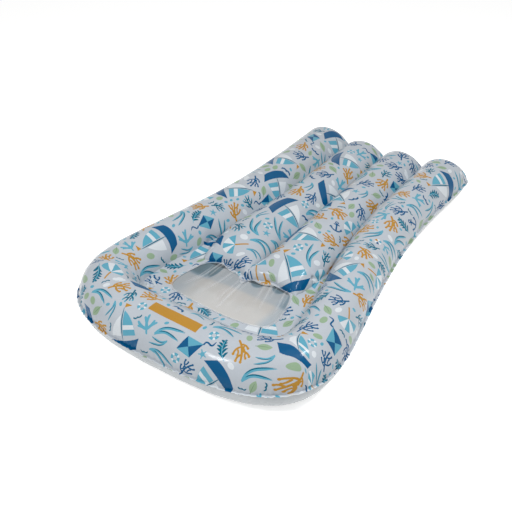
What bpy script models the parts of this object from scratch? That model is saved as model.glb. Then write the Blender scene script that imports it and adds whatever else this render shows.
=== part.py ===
"""Child's inflatable air mattress for the pool, with a clear viewing window in its head.

Two films are welded in one flat plane and blown up: an outer tube that runs round the head
like a U, and two inner tubes that end at the window. Metres, +Z up. The head lies at -Y and
the foot at +Y, and the origin is under the middle of the outline, on the floor.
"""
from math import asin, cos, pi, radians, sin

import bmesh
import bpy
import numpy as np
from mathutils import Matrix, Vector
from mathutils.geometry import delaunay_2d_cdt

# Overall sizes, over the weld flange
LENGTH = 1.212
FOOT_WIDTH = 0.578
WAIST_WIDTH = 0.559
MIDDLE_WIDTH = 0.575
SHOULDER_WIDTH = 0.680
HEAD_WIDTH = 0.691

# Where those widths lie along the length
WAIST_FROM_FOOT = 0.233
MIDDLE_FROM_HEAD = 0.697
SHOULDER_FROM_HEAD = 0.347
CORNER_FROM_HEAD = 0.154

# Outer tube: its width in plan at the same places, and its height
FOOT_TUBE = 0.145
WAIST_TUBE = 0.135
MIDDLE_TUBE = 0.137
SHOULDER_TUBE = 0.133
CORNER_TUBE = 0.144
HEAD_TUBE = 0.159
OUTER_HEIGHT = 0.150
FOOT_HEIGHT = 0.140
FLOOR_SQUASH = 0.003

# Inner tubes, and how their heads sink to the window
INNER_HEIGHT = 0.121
INNER_SETBACK = 0.007
SLOPE_FROM_HEAD = 0.531
VALLEY_END_FROM_HEAD = 0.461
TUBE_END_FROM_HEAD = 0.372
SCALLOP = 0.016
CORNER_SWEEP = 0.005
SADDLE = 0.8
SADDLE_RUN = 0.5
END_FULLNESS = 2.4
END_SQUARENESS = 6.0

# Films and welds
FILM = 0.0003
GAP = 0.0003
VALLEY_WELD = 0.005
FLANGE = 0.006

# Viewing window: the cut-out in both printed films, and the clear film lapped over it
WINDOW_WIDTH = 0.288
WINDOW_FROM_HEAD = 0.216
WINDOW_CORNER = 0.051
WINDOW_BAND = 0.008
WINDOW_LAP = 0.005

# Push-in safety valves under the foot ends
VALVE_TILT = radians(35)
PAD_BORDER = 0.0015
PAD_SINK = 0.0012
PAD_MARGIN = 0.004
VALVE_FLANGE_WIDTH = 0.006
VALVE_FLANGE_THICKNESS = 0.0012
LIP_RADIUS = 0.012
LIP_WALL = 0.001
LIP_DEPTH = 0.003
STEM_RADIUS = 0.0046
STEM_WALL = 0.0014
STEM_RIM_WIDTH = 0.0016
STEM_RIM_THICKNESS = 0.0012
STEM_LENGTH = 0.0175
BEAD_WIDTH = 0.0006
BEAD_DEPTH = 0.0085
BEAD_THICKNESS = 0.001
SLEEVE_WALL = 0.0006
PLUG_HEAD_THICKNESS = 0.0016
PLUG_LENGTH = 0.0078
PLUG_NOSE = 0.0006
STRAP_THICKNESS = 0.0007
STRAP_WIDTH = 0.0028
STRAP_REACH = 0.0012
FLAP_INSET = 0.0003
FLAP_THICKNESS = 0.0006
FLAP_CUT = radians(57)

# Fineness of the meshes
STRAIGHT_STEPS = 4
HEAD_STEPS = 10
BEND_WEIGHT = 0.35
END_STEPS = 4
SLOPE_STEPS = 4
TOP_STEPS = 8
FLANK_STEPS = 3
CORNER_STEPS = 5
PAD_STEPS = 16
TURN_STEPS = 36
EDGE_CHAMFER = 0.0003
STRAP_STEPS = 8
ROUTE_SAMPLES = 600
SHARP_ANGLE = radians(40)

HEAD_END = -LENGTH / 2
FOOT_END = LENGTH / 2
WELD_PLANE = OUTER_HEIGHT / 2 - FLOOR_SQUASH
INNER_FACE = GAP / 2
VALVE_FLANGE_RADIUS = LIP_RADIUS + VALVE_FLANGE_WIDTH
PAD_RADIUS = VALVE_FLANGE_RADIUS + PAD_BORDER
STEM_BORE = STEM_RADIUS - STEM_WALL
STEM_RIM_RADIUS = STEM_RADIUS + STEM_RIM_WIDTH
BEAD_RADIUS = STEM_RADIUS + BEAD_WIDTH
FLAP_RADIUS = STEM_RADIUS - FLAP_INSET
TINY = 1e-6


def clear_scene():
    for obj in list(bpy.data.objects):
        bpy.data.objects.remove(obj)


def material(name, colour, roughness, alpha=1.0):
    mat = bpy.data.materials.new(name)
    mat.use_nodes = True
    surface = mat.node_tree.nodes["Principled BSDF"]
    surface.inputs["Base Color"].default_value = (*colour, 1.0)
    surface.inputs["Roughness"].default_value = roughness
    surface.inputs["Metallic"].default_value = 0.0
    surface.inputs["Alpha"].default_value = alpha
    return mat


def finish_object(bm, name, mat, parent=None):
    mesh = bpy.data.meshes.new(name)
    bm.to_mesh(mesh)
    bm.free()
    mesh.materials.append(mat)
    mesh.shade_smooth()
    mesh.set_sharp_from_angle(angle=SHARP_ANGLE)
    obj = bpy.data.objects.new(name, mesh)
    bpy.context.collection.objects.link(obj)
    obj.parent = parent
    return obj


# Plan of the tubes

def natural_spline(stations, values):
    """A smooth curve through the values; each value is a row of numbers."""
    count = len(stations)
    steps = np.diff(stations)
    system = np.eye(count)
    right = np.zeros(values.shape)
    for i in range(1, count - 1):
        system[i, i - 1] = steps[i - 1]
        system[i, i] = 2 * (steps[i - 1] + steps[i])
        system[i, i + 1] = steps[i]
        right[i] = 6 * ((values[i + 1] - values[i]) / steps[i] - (values[i] - values[i - 1]) / steps[i - 1])
    bends = np.linalg.solve(system, right)

    def evaluate(where):
        k = np.clip(np.searchsorted(stations, where, side="right") - 1, 0, count - 2)
        step = steps[k][:, None]
        a = (stations[k + 1] - where)[:, None] / step
        c = 1 - a
        curved = ((a**3 - a) * bends[k] + (c**3 - c) * bends[k + 1]) * step**2 / 6
        return a * values[k] + c * values[k + 1] + curved

    return evaluate


def outer_route():
    """Fine samples of the outer tube's middle line from the right foot to the head's middle.

    Each row holds x, y, the tube's half width and its half height.
    """
    def knot(width, y, tube, height):
        return (width / 2 - FLANGE - tube / 2, y, tube / 2, height / 2)

    half = [
        knot(FOOT_WIDTH, FOOT_END - FLANGE - FOOT_TUBE / 2, FOOT_TUBE, FOOT_HEIGHT),
        knot(WAIST_WIDTH, FOOT_END - WAIST_FROM_FOOT, WAIST_TUBE, OUTER_HEIGHT),
        knot(MIDDLE_WIDTH, HEAD_END + MIDDLE_FROM_HEAD, MIDDLE_TUBE, OUTER_HEIGHT),
        knot(SHOULDER_WIDTH, HEAD_END + SHOULDER_FROM_HEAD, SHOULDER_TUBE, OUTER_HEIGHT),
        knot(HEAD_WIDTH, HEAD_END + CORNER_FROM_HEAD, CORNER_TUBE, OUTER_HEIGHT),
        (0.0, HEAD_END + FLANGE + HEAD_TUBE / 2, HEAD_TUBE / 2, OUTER_HEIGHT / 2),
    ]
    whole = half + [(-x, y, a, b) for x, y, a, b in half[-2::-1]]
    knots = np.array(whole)
    chords = np.hypot(*np.diff(knots[:, :2], axis=0).T)
    stations = np.concatenate([[0], np.cumsum(chords)])
    curve = natural_spline(stations, knots)
    return curve(np.linspace(0, stations[-1] / 2, ROUTE_SAMPLES + 1))


def sections_of(route):
    """Cross-sections of the outer tube: place, outward side, half width and half height."""
    lengths = np.concatenate([[0], np.cumsum(np.hypot(*np.diff(route[:, :2], axis=0).T))])
    slope_start = np.interp(-(HEAD_END + SLOPE_FROM_HEAD), -route[:, 1], lengths)
    heading = np.gradient(route[:, :2], lengths, axis=0)
    heading[-1] = (-1, 0)
    turned_by = np.unwrap(np.arctan2(heading[:, 1], heading[:, 0]))
    effort = lengths + BEND_WEIGHT * np.abs(turned_by - turned_by[0])
    straight = np.linspace(0, slope_start, STRAIGHT_STEPS + 1)
    shares = np.linspace(np.interp(slope_start, lengths, effort), effort[-1], HEAD_STEPS + 1)[1:]
    head = np.interp(shares, effort, lengths)
    sections = []
    for s in np.concatenate([straight, head]):
        x, y, half_width, half_height = (np.interp(s, lengths, route[:, i]) for i in range(4))
        ahead = np.array([np.interp(s, lengths, heading[:, i]) for i in range(2)])
        ahead /= np.hypot(*ahead)
        outward = np.array([-ahead[1], ahead[0]])
        sections.append((np.array([x, y]), outward, half_width, half_height))
    return sections


def end_profile(step, steps):
    """Share of the width, reach and height at one step of a rounded tube end."""
    angle = pi / 2 * step / steps
    reach = sin(angle) ** (2 / END_FULLNESS)
    width = 0.0 if step == steps else (1 - reach**END_SQUARENESS) ** (1 / END_SQUARENESS)
    return width, reach, cos(angle)


def arc_angles(half_height, side):
    """Angles round half a section; underneath, the middle step is the flat on the floor."""
    if side > 0:
        return np.linspace(0, pi, TOP_STEPS + 1)
    reach = WELD_PLANE - INNER_FACE - FILM
    resting = min(reach / half_height, 1 - FLOOR_SQUASH / half_height)
    flank = np.linspace(0, asin(resting), FLANK_STEPS + 1)
    return np.concatenate([flank, pi - flank[::-1]])


def section_row(middle, outward, half_width, half_height, angles):
    """Points over one section as x, y and the height above the weld plane."""
    across = np.outer(half_width * np.cos(angles), outward) + middle
    return np.column_stack([across, half_height * np.sin(angles)])


def outer_rows(sections, side):
    middle, outward, half_width, half_height = sections[0]
    ahead = np.array([outward[1], -outward[0]])
    rows = []
    for step in range(END_STEPS, 0, -1):
        width, reach, height = end_profile(step, END_STEPS)
        place = middle - ahead * half_width * reach
        angles = arc_angles(half_height, side)
        rows.append(section_row(place, outward, half_width * width, half_height * height, angles))
    for middle, outward, half_width, half_height in sections:
        angles = arc_angles(half_height, side)
        rows.append(section_row(middle, outward, half_width, half_height, angles))
    return rows


def valley_line(sections):
    """Middle of the weld between the outer and the inner tube."""
    return np.array([m - n * (a + VALLEY_WELD / 2) for m, n, a, b in sections])


def inner_foot(sections):
    return sections[0][0][1] - INNER_SETBACK


def inner_rows(sections, side):
    """The right inner tube, from its foot end to the edge of the window."""
    valley = valley_line(sections[:STRAIGHT_STEPS + 1])
    half_height = INNER_HEIGHT / 2
    angles = arc_angles(half_height, side)
    near_middle = VALLEY_WELD / 2
    places = np.linspace(inner_foot(sections), valley[-1, 1], STRAIGHT_STEPS + 1)
    edges = np.interp(-places, -valley[:, 1], valley[:, 0]) - VALLEY_WELD / 2
    rows = []
    for step in range(END_STEPS, 0, -1):
        width, reach, height = end_profile(step, END_STEPS)
        half_width = (edges[0] - near_middle) / 2
        middle = np.array([(edges[0] + near_middle) / 2, places[0] + half_width * reach])
        rows.append(section_row(middle, (1, 0), half_width * width, half_height * height, angles))
    for edge, y in zip(edges, places):
        middle = np.array([(edge + near_middle) / 2, y])
        rows.append(section_row(middle, (1, 0), (edge - near_middle) / 2, half_height, angles))
    return rows + slope_rows(edges[-1], places[-1], half_height, angles)


def slope_rows(edge, start, half_height, angles):
    """The head of an inner tube, which narrows and sinks to the window's scalloped edge."""
    tube_end = HEAD_END + TUBE_END_FROM_HEAD
    valley_end = HEAD_END + VALLEY_END_FROM_HEAD
    share_at_valley = asin((start - valley_end) / (start - tube_end)) * 2 / pi
    before = np.linspace(0, share_at_valley, SLOPE_STEPS // 2 + 1)[1:]
    after = np.linspace(share_at_valley, 1, SLOPE_STEPS - SLOPE_STEPS // 2 + 1)[1:]
    across = (1 + np.cos(angles)) / 2
    end = window_far_edge(across)
    rows = []
    for share in np.concatenate([before, after]):
        in_valley = share <= share_at_valley + TINY
        inside = VALLEY_WELD / 2 if in_valley else 0.0
        narrowing = 1 - (1 - WINDOW_WIDTH / 2 / edge) * share**2 * (3 - 2 * share)
        x = inside + (edge * narrowing - inside) * across
        y = start + (end - start) * sin(share * pi / 2)
        rise = min(1.0, max(0.0, (share - share_at_valley) / SADDLE_RUN))
        saddle = SADDLE * rise**2 * (3 - 2 * rise)
        arch = np.sin(angles)
        arch = np.where(angles > pi / 2, 1 - (1 - arch) * (1 - saddle), arch)
        rows.append(np.column_stack([x, y, half_height * max(0.0, cos(share * pi / 2)) * arch]))
    rows[-1][:, 2] = 0
    return rows


def window_far_edge(across):
    """Where the inner tubes end, for shares of the half width from the middle outwards."""
    scallop = SCALLOP * np.sin(pi * across) ** 2
    return HEAD_END + TUBE_END_FROM_HEAD + scallop + CORNER_SWEEP * across**5


# Outlines in the weld plane

def mirrored(points):
    return [(-x, y) for x, y in reversed(points)]


def closed_from_half(half):
    """A closed outline from its right half, whose ends may lie on the middle line."""
    left = mirrored(half)
    if abs(half[0][0]) < TINY:
        left = left[:-1]
    if abs(half[-1][0]) < TINY:
        left = left[1:]
    return half + left


def plan_points(rows, index):
    return [(float(row[index][0]), float(row[index][1])) for row in rows]


def outer_footprint(rows):
    outside = plan_points(rows, 0)[::-1]
    inside = plan_points(rows, -1)[1:]
    return closed_from_half(outside + inside)


def inner_footprint(rows):
    """Both inner tubes, with the slot of the weld between them."""
    far = END_STEPS + STRAIGHT_STEPS + 1 + SLOPE_STEPS // 2
    valley_side = plan_points(rows[:far], -1)[::-1]
    flank = plan_points(rows, 0)[1:]
    front = [(float(p[0]), float(p[1])) for p in rows[-1][1:]]
    return closed_from_half(valley_side + flank + front)


def window_outline(grown=0.0):
    """The cut-out; grown moves its edge outwards, under the clear film's lap."""
    half_width = WINDOW_WIDTH / 2
    across = np.linspace(0, 1, TOP_STEPS + 1)
    far = window_far_edge(across) - WINDOW_BAND
    points = [(half_width * u, y + grown) for u, y in zip(across, far)]
    points[-1] = (half_width + grown, points[-1][1])
    near = HEAD_END + WINDOW_FROM_HEAD
    for step in range(CORNER_STEPS + 1):
        angle = pi / 2 * step / CORNER_STEPS
        x = half_width - WINDOW_CORNER + (WINDOW_CORNER + grown) * cos(angle)
        y = near + WINDOW_CORNER - (WINDOW_CORNER + grown) * sin(angle)
        points.append((x, y))
    points.append((0.0, near - grown))
    return closed_from_half([(float(x), float(y)) for x, y in points])


def end_flange(middle, outward, half_width):
    """Edge of the flange round one tube end, from its outer to its inner side."""
    ahead = np.array([outward[1], -outward[0]])
    points = []
    for side, steps in ((1, range(0, END_STEPS + 1)), (-1, range(END_STEPS - 1, -1, -1))):
        for step in steps:
            width, reach, _ = end_profile(step, END_STEPS)
            grown = half_width + FLANGE
            points.append(middle + side * outward * grown * width - ahead * grown * reach)
    return points


def crossing(p, q, r, s):
    """Where the stretch p to q meets the stretch r to s, or None."""
    u, v = q - p, s - r
    area = u[0] * v[1] - u[1] * v[0]
    if abs(area) < TINY**2:
        return None
    t = ((r - p)[0] * v[1] - (r - p)[1] * v[0]) / area
    w = ((r - p)[0] * u[1] - (r - p)[1] * u[0]) / area
    return p + u * t if 0 <= t <= 1 and 0 <= w <= 1 else None


def joined_at_crossing(first, second):
    """The first line up to the place where the second meets it, then the second."""
    for i in range(len(first) - 1):
        for j in range(len(second) - 1):
            place = crossing(first[i], first[i + 1], second[j], second[j + 1])
            if place is not None:
                return first[:i + 1] + [place] + second[j + 1:]
    raise ValueError("the flanges of two tube ends don't meet")


def rim_outline(sections):
    """Outer edge of the weld flange round the whole mattress."""
    side = [m + n * (a + FLANGE) for m, n, a, b in reversed(sections)]
    middle, outward, half_width, _ = sections[0]
    inside = [m - n * (a + FLANGE) for m, n, a, b in sections[1:]]
    outer = side[:-1] + end_flange(middle, outward, half_width) + inside
    edge = valley_line(sections)[:, 0]
    edge = np.interp(-inner_foot(sections), -valley_line(sections)[:, 1], edge) - VALLEY_WELD / 2
    half_width = (edge - VALLEY_WELD / 2) / 2
    middle = np.array([edge - half_width, inner_foot(sections)])
    inner = end_flange(middle, np.array([1.0, 0.0]), half_width)
    inner = [inner[0] - (0, half_width)] + inner
    half = joined_at_crossing(outer, inner)
    middle_line = [np.array([0.0, FOOT_END]), np.array([0.0, 0.0])]
    half = joined_at_crossing(half, middle_line)[:-1]
    return closed_from_half([(float(x), float(y)) for x, y in half])


def inside_outline(x, y, outline):
    inside = False
    for (x1, y1), (x2, y2) in zip(outline, outline[1:] + outline[:1]):
        if (y1 > y) != (y2 > y) and x < x1 + (y - y1) / (y2 - y1) * (x2 - x1):
            inside = not inside
    return inside


def flat_triangles(rim, holes):
    """Triangles of the area within the rim and outside the holes, as triples of points."""
    points = []
    edges = []
    for outline in [rim] + holes:
        start = len(points)
        count = len(outline)
        points += [Vector(p) for p in outline]
        edges += [(start + i, start + (i + 1) % count) for i in range(count)]
    places, _, faces, _, _, _ = delaunay_2d_cdt(points, edges, [], 0, TINY)
    triangles = []
    for face in faces:
        corners = [places[i] for i in face]
        x = sum(c.x for c in corners) / 3
        y = sum(c.y for c in corners) / 3
        if inside_outline(x, y, rim) and not any(inside_outline(x, y, hole) for hole in holes):
            triangles.append(corners)
    return triangles


# Films

def add_grid(bm, rows):
    """Faces between neighbouring rows; a row that is one point makes triangles."""
    grid = [[bm.verts.new(p) for p in row] for row in rows]
    for low, high in zip(grid, grid[1:]):
        for i in range(len(low) - 1):
            corners = [low[i], low[i + 1], high[i + 1], high[i]]
            if (low[i].co - low[i + 1].co).length < TINY:
                corners.pop(0)
            elif (high[i].co - high[i + 1].co).length < TINY:
                corners.pop(2)
            bm.faces.new(corners)


def film_surface(sections, side):
    """The film's inner face: side 1 is the top film, side -1 the bottom film."""
    def placed(x, y, height):
        z = WELD_PLANE + side * (INNER_FACE + height)
        return (x, y, max(z, FILM))

    bm = bmesh.new()
    outer = outer_rows(sections, side)
    inner = inner_rows(sections, side)
    for mirror in (1, -1):
        for rows in (outer, inner):
            add_grid(bm, [[placed(mirror * x, y, h) for x, y, h in row] for row in rows])
    last_welded = inner[END_STEPS + STRAIGHT_STEPS + SLOPE_STEPS // 2][-1]
    saddle = inner[END_STEPS + STRAIGHT_STEPS + SLOPE_STEPS // 2 + 1][-1]
    corners = [(last_welded[0], last_welded[1], 0), (-last_welded[0], last_welded[1], 0), tuple(saddle)]
    bm.faces.new([bm.verts.new(placed(*p)) for p in corners])
    holes = [outer_footprint(outer), inner_footprint(inner), window_outline()]
    for corners in flat_triangles(rim_outline(sections), holes):
        bm.faces.new([bm.verts.new(placed(p.x, p.y, 0)) for p in corners])
    bmesh.ops.remove_doubles(bm, verts=bm.verts[:], dist=10 * TINY)
    bm.normal_update()
    bmesh.ops.reverse_faces(bm, faces=[f for f in bm.faces if f.normal.z * side < 0])
    return bm


def seat_pad(bm, frame):
    """Makes the film flat round a valve and cuts the hole for it.

    The frame's origin is the middle of the pad on the film's inner face, and its Z axis
    points out of the film.
    """
    to_pad = frame.inverted()
    reach = PAD_RADIUS + PAD_MARGIN
    axis = frame.col[2].to_3d()
    spot = []
    for face in bm.faces:
        corners = [to_pad @ v.co for v in face.verts]
        middle = to_pad @ face.calc_center_median()
        near = min(p.xy.length for p in corners + [middle]) < reach
        if near and middle.z > -reach and face.normal.dot(axis) > 0:
            spot.append(face)
    bmesh.ops.delete(bm, geom=spot, context="FACES_ONLY")
    loose = [e for e in bm.edges if not e.link_faces]
    bmesh.ops.delete(bm, geom=loose, context="EDGES")
    bmesh.ops.delete(bm, geom=[v for v in bm.verts if not v.link_edges], context="VERTS")
    edge = boundary_loop_near(bm, frame.translation, to_pad)
    rings = [[to_pad @ v.co for v in edge]]
    for radius in (PAD_RADIUS, LIP_RADIUS + GAP):
        corner_radius = radius / cos(pi / PAD_STEPS)
        ring = [2 * pi * i / PAD_STEPS for i in range(PAD_STEPS)]
        rings.append([Vector((corner_radius * cos(t), corner_radius * sin(t), 0)) for t in ring])
    points = [p for ring in rings for p in ring]
    edges = []
    for ring in rings:
        start = len(edges)
        edges += [(start + i, start + (i + 1) % len(ring)) for i in range(len(ring))]
    _, _, faces, sources, _, _ = delaunay_2d_cdt([p.xy for p in points], edges, [], 0, TINY)
    verts = edge + [bm.verts.new(frame @ p) for p in points[len(edge):]]
    outline = [(p.x, p.y) for p in rings[0]]
    hole = [(p.x, p.y) for p in rings[2]]
    for face in faces:
        corners = [sources[i][0] for i in face]
        x = sum(points[i].x for i in corners) / 3
        y = sum(points[i].y for i in corners) / 3
        if inside_outline(x, y, outline) and not inside_outline(x, y, hole):
            made = bm.faces.new([verts[i] for i in corners])
            made.normal_update()
            if made.normal.dot(axis) < 0:
                made.normal_flip()


def boundary_loop_near(bm, place, to_pad):
    """The open edge loop that goes round a place, as an ordered list of vertices."""
    open_edges = {e for e in bm.edges if e.is_boundary}
    loops = []
    while open_edges:
        edge = open_edges.pop()
        loop = [edge.verts[0], edge.verts[1]]
        while True:
            following = [e for e in loop[-1].link_edges if e in open_edges]
            if not following:
                break
            open_edges.discard(following[0])
            loop.append(following[0].other_vert(loop[-1]))
        loops.append(loop[:-1] if loop[0] is loop[-1] else loop)
    return min(loops, key=lambda loop: max((v.co - place).length for v in loop))


def thicken(bm, thickness):
    """Turns an open film into a closed solid; the new face lies on the side of the normals."""
    bmesh.ops.triangulate(bm, faces=bm.faces[:], quad_method="SHORT_EDGE")
    bm.normal_update()
    bm.verts.index_update()
    outer = []
    for v in bm.verts[:]:
        place = v.co + v.normal * thickness * v.calc_shell_factor()
        if v.co.z < thickness + TINY:
            place.z = 0.0
        outer.append(place)
    faces = [[v.index for v in f.verts] for f in bm.faces]
    rim = []
    for edge in bm.edges:
        if edge.is_boundary:
            loop = edge.link_loops[0]
            rim.append((loop.vert.index, loop.link_loop_next.vert.index))
    verts = bm.verts[:]
    copies = [bm.verts.new(p) for p in outer]
    bmesh.ops.reverse_faces(bm, faces=bm.faces[:])
    for face in faces:
        bm.faces.new([copies[i] for i in face])
    for a, b in rim:
        bm.faces.new([verts[a], verts[b], copies[b]])
        bm.faces.new([verts[a], copies[b], copies[a]])
    bm.normal_update()


def flat_film(outline, low):
    bm = bmesh.new()
    for corners in flat_triangles(outline, []):
        bm.faces.new([bm.verts.new((p.x, p.y, low)) for p in corners])
    bmesh.ops.remove_doubles(bm, verts=bm.verts[:], dist=10 * TINY)
    bm.normal_update()
    bmesh.ops.reverse_faces(bm, faces=[f for f in bm.faces if f.normal.z < 0])
    thicken(bm, FILM)
    return bm


# Valves

def valve_frame(middle, ahead, half_width, half_height):
    """Place and turn of a valve under a tube's rounded foot end, on the film's inner face."""
    outward = Vector((*ahead, 0)) * cos(VALVE_TILT) - Vector((0, 0, 1)) * sin(VALVE_TILT)
    angle = pi / 2 - VALVE_TILT
    reach = half_width * sin(angle) ** (2 / END_FULLNESS)
    place = Vector((*middle, WELD_PLANE - INNER_FACE)) + Vector((*ahead, 0)) * reach
    place.z -= half_height * cos(angle)
    place -= outward * PAD_SINK
    sideways = Vector((0, 0, 1)).cross(outward).normalized()
    upward = outward.cross(sideways)
    turn = Matrix((sideways, upward, outward)).transposed()
    return Matrix.Translation(place) @ turn.to_4x4()


def eased(profile):
    """The closed profile with small chamfers on its outward corners, away from the axis."""
    corners = [Vector(p) for p in profile]
    following = corners[1:] + corners[:1]
    area = sum(p.cross(q) for p, q in zip(corners, following))
    points = []
    for before, corner, after in zip(corners[-1:] + corners, corners, following):
        if corner.x < TINY or (corner - before).cross(after - corner) * area < 0:
            points.append(corner)
            continue
        for other in (before, after):
            way = other - corner
            points.append(corner + way * min(EDGE_CHAMFER / way.length, 1 / 3))
    return points


def turned(profile, steps=TURN_STEPS):
    """A solid turned about Z from a closed profile of (radius, height) points."""
    bm = bmesh.new()
    rings = []
    for radius, z in eased(profile):
        if radius < TINY:
            rings.append([bm.verts.new((0, 0, z))] * steps)
            continue
        turns = [2 * pi * i / steps for i in range(steps)]
        rings.append([bm.verts.new((radius * cos(t), radius * sin(t), z)) for t in turns])
    pairs = list(zip(rings, rings[1:] + rings[:1]))
    for low, high in pairs:
        for i in range(steps):
            j = (i + 1) % steps
            corners = []
            for v in (low[i], low[j], high[j], high[i]):
                if v not in corners:
                    corners.append(v)
            if len(corners) > 2:
                bm.faces.new(corners)
    bmesh.ops.recalc_face_normals(bm, faces=bm.faces[:])
    return bm


def base_profile():
    top = GAP + VALVE_FLANGE_THICKNESS
    bore = LIP_RADIUS - LIP_WALL
    slope = VALVE_FLANGE_THICKNESS / 2
    return [(bore, -LIP_DEPTH), (LIP_RADIUS, -LIP_DEPTH), (LIP_RADIUS, GAP),
            (VALVE_FLANGE_RADIUS, GAP), (VALVE_FLANGE_RADIUS, top - slope),
            (VALVE_FLANGE_RADIUS - slope, top), (bore, top)]


def sleeve_profile():
    outside = LIP_RADIUS - LIP_WALL - GAP
    top = GAP + VALVE_FLANGE_THICKNESS
    inside = BEAD_RADIUS + GAP
    low = -BEAD_DEPTH
    return [(outside - SLEEVE_WALL, top), (inside, low + BEAD_THICKNESS), (inside, low),
            (inside + SLEEVE_WALL, low), (outside, 0.0), (outside, top)]


def stem_profile():
    rim_top = GAP + STEM_RIM_THICKNESS
    bead_low = -BEAD_DEPTH
    bead_high = bead_low + BEAD_THICKNESS
    return [(STEM_BORE, rim_top - STEM_LENGTH), (STEM_RADIUS, rim_top - STEM_LENGTH),
            (STEM_RADIUS, bead_low), (BEAD_RADIUS, bead_low), (BEAD_RADIUS, bead_high),
            (STEM_RADIUS, bead_high), (STEM_RADIUS, GAP), (STEM_RIM_RADIUS, GAP),
            (STEM_RIM_RADIUS, rim_top), (STEM_BORE, rim_top)]


def plug_profile():
    seat = 2 * GAP + STEM_RIM_THICKNESS
    pin = STEM_BORE - GAP
    head = STEM_RIM_RADIUS
    top = seat + PLUG_HEAD_THICKNESS
    return [(0, seat - PLUG_LENGTH), (pin - PLUG_NOSE, seat - PLUG_LENGTH),
            (pin, seat - PLUG_LENGTH + 2 * PLUG_NOSE), (pin, seat), (head, seat),
            (head, top - PLUG_NOSE), (head - PLUG_NOSE, top), (0, top)]


def strap_solid():
    """A short loop beside the plug, from its head down to the side of the stem's rim."""
    start = STEM_RIM_RADIUS + GAP
    low = GAP + STEM_RIM_THICKNESS / 2
    high = 2 * GAP + STEM_RIM_THICKNESS + PLUG_HEAD_THICKNESS / 2
    middle = (low + high) / 2
    radius = (high - low) / 2
    path = [(start, high)]
    for step in range(STRAP_STEPS + 1):
        angle = pi / 2 - pi * step / STRAP_STEPS
        path.append((start + STRAP_REACH + radius * cos(angle), middle + radius * sin(angle)))
    path.append((start, low))
    inner, outer = [], []
    half = STRAP_THICKNESS / 2
    for i, (r, z) in enumerate(path):
        angle = pi / 2 - pi * min(max(i - 1, 0), STRAP_STEPS) / STRAP_STEPS
        inner.append((r - half * cos(angle), z - half * sin(angle)))
        outer.append((r + half * cos(angle), z + half * sin(angle)))
    bm = bmesh.new()
    walls = []
    for x in (-STRAP_WIDTH / 2, STRAP_WIDTH / 2):
        walls.append([bm.verts.new((x, r, z)) for r, z in inner + outer[::-1]])
    count = len(inner)
    for wall in walls:
        for i in range(count - 1):
            bm.faces.new([wall[i], wall[i + 1], wall[-i - 2], wall[-i - 1]])
    for i in range(2 * count):
        j = (i + 1) % (2 * count)
        bm.faces.new([walls[0][i], walls[0][j], walls[1][j], walls[1][i]])
    bmesh.ops.recalc_face_normals(bm, faces=bm.faces[:])
    return bm


def flap_solid():
    """A disc under the stem's inner end, cut straight along its hinge; origin on the hinge."""
    points = []
    for step in range(TURN_STEPS + 1):
        angle = pi / 2 + FLAP_CUT + (2 * pi - 2 * FLAP_CUT) * step / TURN_STEPS
        points.append((FLAP_RADIUS * cos(angle), FLAP_RADIUS * (sin(angle) - cos(FLAP_CUT))))
    bm = bmesh.new()
    low = -GAP / 2 - FLAP_THICKNESS
    face = bm.faces.new([bm.verts.new((x, y, low)) for x, y in points])
    grown = bmesh.ops.extrude_face_region(bm, geom=[face])
    moved = [v for v in grown["geom"] if isinstance(v, bmesh.types.BMVert)]
    bmesh.ops.translate(bm, verts=moved, vec=(0, 0, FLAP_THICKNESS))
    bmesh.ops.recalc_face_normals(bm, faces=bm.faces[:])
    return bm


def make_valve(prefix, frame, mats):
    """One push-in valve; Z of its frame points out of the film, whose face is at Z = 0."""
    seat = bpy.data.objects.new(prefix + "_valve_place", None)
    bpy.context.collection.objects.link(seat)
    seat.matrix_world = frame @ Matrix.Translation((0, 0, FILM))
    for piece, profile in (("base", base_profile()), ("sleeve", sleeve_profile()),
                           ("stem", stem_profile()), ("plug", plug_profile())):
        finish_object(turned(profile), f"{prefix}_valve_{piece}", mats[piece], seat)
    finish_object(strap_solid(), prefix + "_valve_strap", mats["plug"], seat)
    flap = finish_object(flap_solid(), prefix + "_valve_flap", mats["flap"], seat)
    stem_end = GAP + STEM_RIM_THICKNESS - STEM_LENGTH
    flap.location = (0, FLAP_RADIUS * cos(FLAP_CUT), stem_end - GAP / 2)


def main():
    clear_scene()
    print_film = material("printed_film", (0.58, 0.64, 0.71), 0.28)
    plain_film = material("plain_film", (0.62, 0.64, 0.67), 0.30)
    clear_film = material("clear_film", (0.86, 0.88, 0.90), 0.12, alpha=0.35)
    soft_white = material("valve_white", (0.86, 0.87, 0.88), 0.35)
    soft_clear = material("valve_clear", (0.80, 0.83, 0.86), 0.30)
    mats = {"base": soft_white, "sleeve": soft_clear, "stem": soft_white,
            "plug": soft_white, "flap": soft_clear}
    sections = sections_of(outer_route())

    top = film_surface(sections, 1)
    thicken(top, FILM)
    finish_object(top, "top_sheet", print_film)

    middle, outward, half_width, half_height = sections[0]
    ahead = np.array([-outward[1], outward[0]])
    outer_valve = valve_frame(middle, ahead, half_width, half_height)
    valley = valley_line(sections)
    edge = np.interp(-inner_foot(sections), -valley[:, 1], valley[:, 0]) - VALLEY_WELD / 2
    half_width = (edge - VALLEY_WELD / 2) / 2
    inner_middle = np.array([half_width - edge, inner_foot(sections)])
    inner_valve = valve_frame(inner_middle, np.array([0.0, 1.0]), half_width, INNER_HEIGHT / 2)

    bottom = film_surface(sections, -1)
    for frame in (outer_valve, inner_valve):
        seat_pad(bottom, frame)
    thicken(bottom, FILM)
    finish_object(bottom, "bottom_sheet", plain_film)

    low = WELD_PLANE + INNER_FACE + FILM + GAP
    finish_object(flat_film(window_outline(WINDOW_LAP), low), "window_sheet", clear_film)

    make_valve("outer", outer_valve, mats)
    make_valve("inner", inner_valve, mats)
    bpy.context.view_layer.update()


main()
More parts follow.
